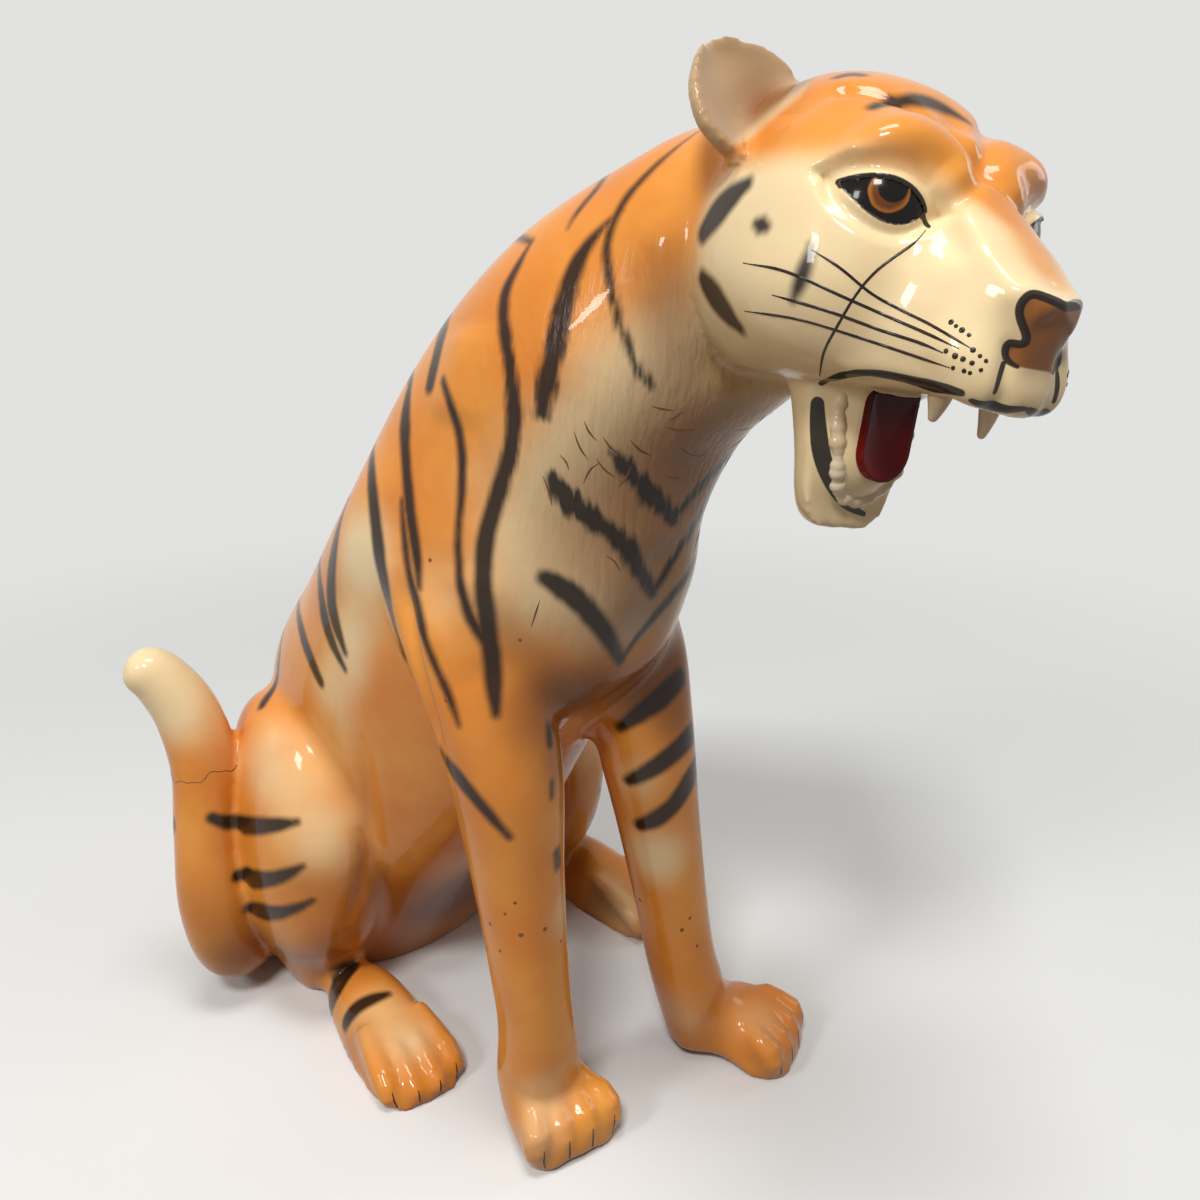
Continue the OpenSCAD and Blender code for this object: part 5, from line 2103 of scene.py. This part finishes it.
def pale_floor(pale, dark):
    """A pale floor that fades into the backdrop and throws little light back up."""
    material = bpy.data.materials.new("pale_floor")
    material.use_nodes = True
    tree = material.node_tree
    shader = tree.nodes["Principled BSDF"]
    shader.inputs["Roughness"].default_value = 0.9
    seen = seen_directly(tree)
    tree.links.new(mixed(tree, seen, dark, pale), shader.inputs["Base Color"])
    place = tree.nodes.new("ShaderNodeTexCoord").outputs["Object"]
    distance = tree.nodes.new("ShaderNodeVectorMath")
    distance.operation = "LENGTH"
    tree.links.new(place, distance.inputs[0])
    away = worked(tree, "MULTIPLY", ranged(tree, distance.outputs["Value"], *FLOOR_FADE), seen)
    glow = add_node(tree, "ShaderNodeEmission", Color=pale, Strength=1.0)
    blend = tree.nodes.new("ShaderNodeMixShader")
    tree.links.new(away, blend.inputs[0])
    tree.links.new(shader.outputs[0], blend.inputs[1])
    tree.links.new(glow.outputs[0], blend.inputs[2])
    tree.links.new(blend.outputs[0], tree.nodes["Material Output"].inputs["Surface"])
    return material


def studio_world(pale, fill):
    """A pale backdrop that lights the statue softly."""
    world = bpy.data.worlds.new("studio")
    world.use_nodes = True
    tree = world.node_tree
    backdrop = tree.nodes["Background"]
    backdrop.inputs["Color"].default_value = pale
    tree.links.new(ranged(tree, seen_directly(tree), 0.0, 1.0, fill, 1.0), backdrop.inputs["Strength"])
    return world


class TIGER_OT_stage(bpy.types.Operator):
    """Sets the floor, the lamps and the camera"""

    bl_idname = "tiger.stage"
    bl_label = "Set the stage"

    def execute(self, context):
        scene = context.scene
        settings = scene.tiger_stage
        mesh = floor_mesh()
        mesh.materials.append(pale_floor(linear(settings.floor_pale), linear(settings.floor_dark)))
        shown("floor", mesh)
        for name, (at, size, share) in LAMPS.items():
            area_lamp(name, at, size, settings.key_power * share)
        scene.world = studio_world(linear(settings.floor_pale), settings.fill)
        scene.camera = photo_camera()
        scene.view_settings.view_transform = "Standard"
        return {"FINISHED"}


class TIGER_PT_panel(bpy.types.Panel):
    """Lists the steps that make the statue"""

    bl_idname = "TIGER_PT_panel"
    bl_label = "Ceramic tiger"
    bl_space_type = "VIEW_3D"
    bl_region_type = "UI"
    bl_category = "Tiger"

    def draw(self, context):
        scene = context.scene
        for group, operator in (
            (scene.tiger_form, TIGER_OT_skin),
            (scene.tiger_paint, TIGER_OT_lines),
            (scene.tiger_eyes, TIGER_OT_eyes),
            (scene.tiger_mouth, TIGER_OT_mouth),
            (scene.tiger_stage, TIGER_OT_stage),
        ):
            box = self.layout.box()
            for name in type(group).__annotations__:
                box.prop(group, name)
            box.operator(operator.bl_idname)


GROUPS = {
    "tiger_form": TigerFormSettings,
    "tiger_paint": TigerPaintSettings,
    "tiger_eyes": TigerEyeSettings,
    "tiger_mouth": TigerMouthSettings,
    "tiger_stage": TigerStageSettings,
}
STEPS = (TIGER_OT_skin, TIGER_OT_eyes, TIGER_OT_mouth, TIGER_OT_lines, TIGER_OT_stage, TIGER_PT_panel)


def register():
    for name, group in GROUPS.items():
        bpy.utils.register_class(group)
        setattr(bpy.types.Scene, name, bpy.props.PointerProperty(type=group))
    for step in STEPS:
        bpy.utils.register_class(step)


def unregister():
    for step in reversed(STEPS):
        bpy.utils.unregister_class(step)
    for name, group in reversed(GROUPS.items()):
        delattr(bpy.types.Scene, name)
        bpy.utils.unregister_class(group)


def main():
    register()
    bpy.ops.tiger.skin()
    bpy.ops.tiger.eyes()
    bpy.ops.tiger.mouth()
    bpy.ops.tiger.lines()
    bpy.ops.tiger.stage()


if __name__ == "__main__":
    main()
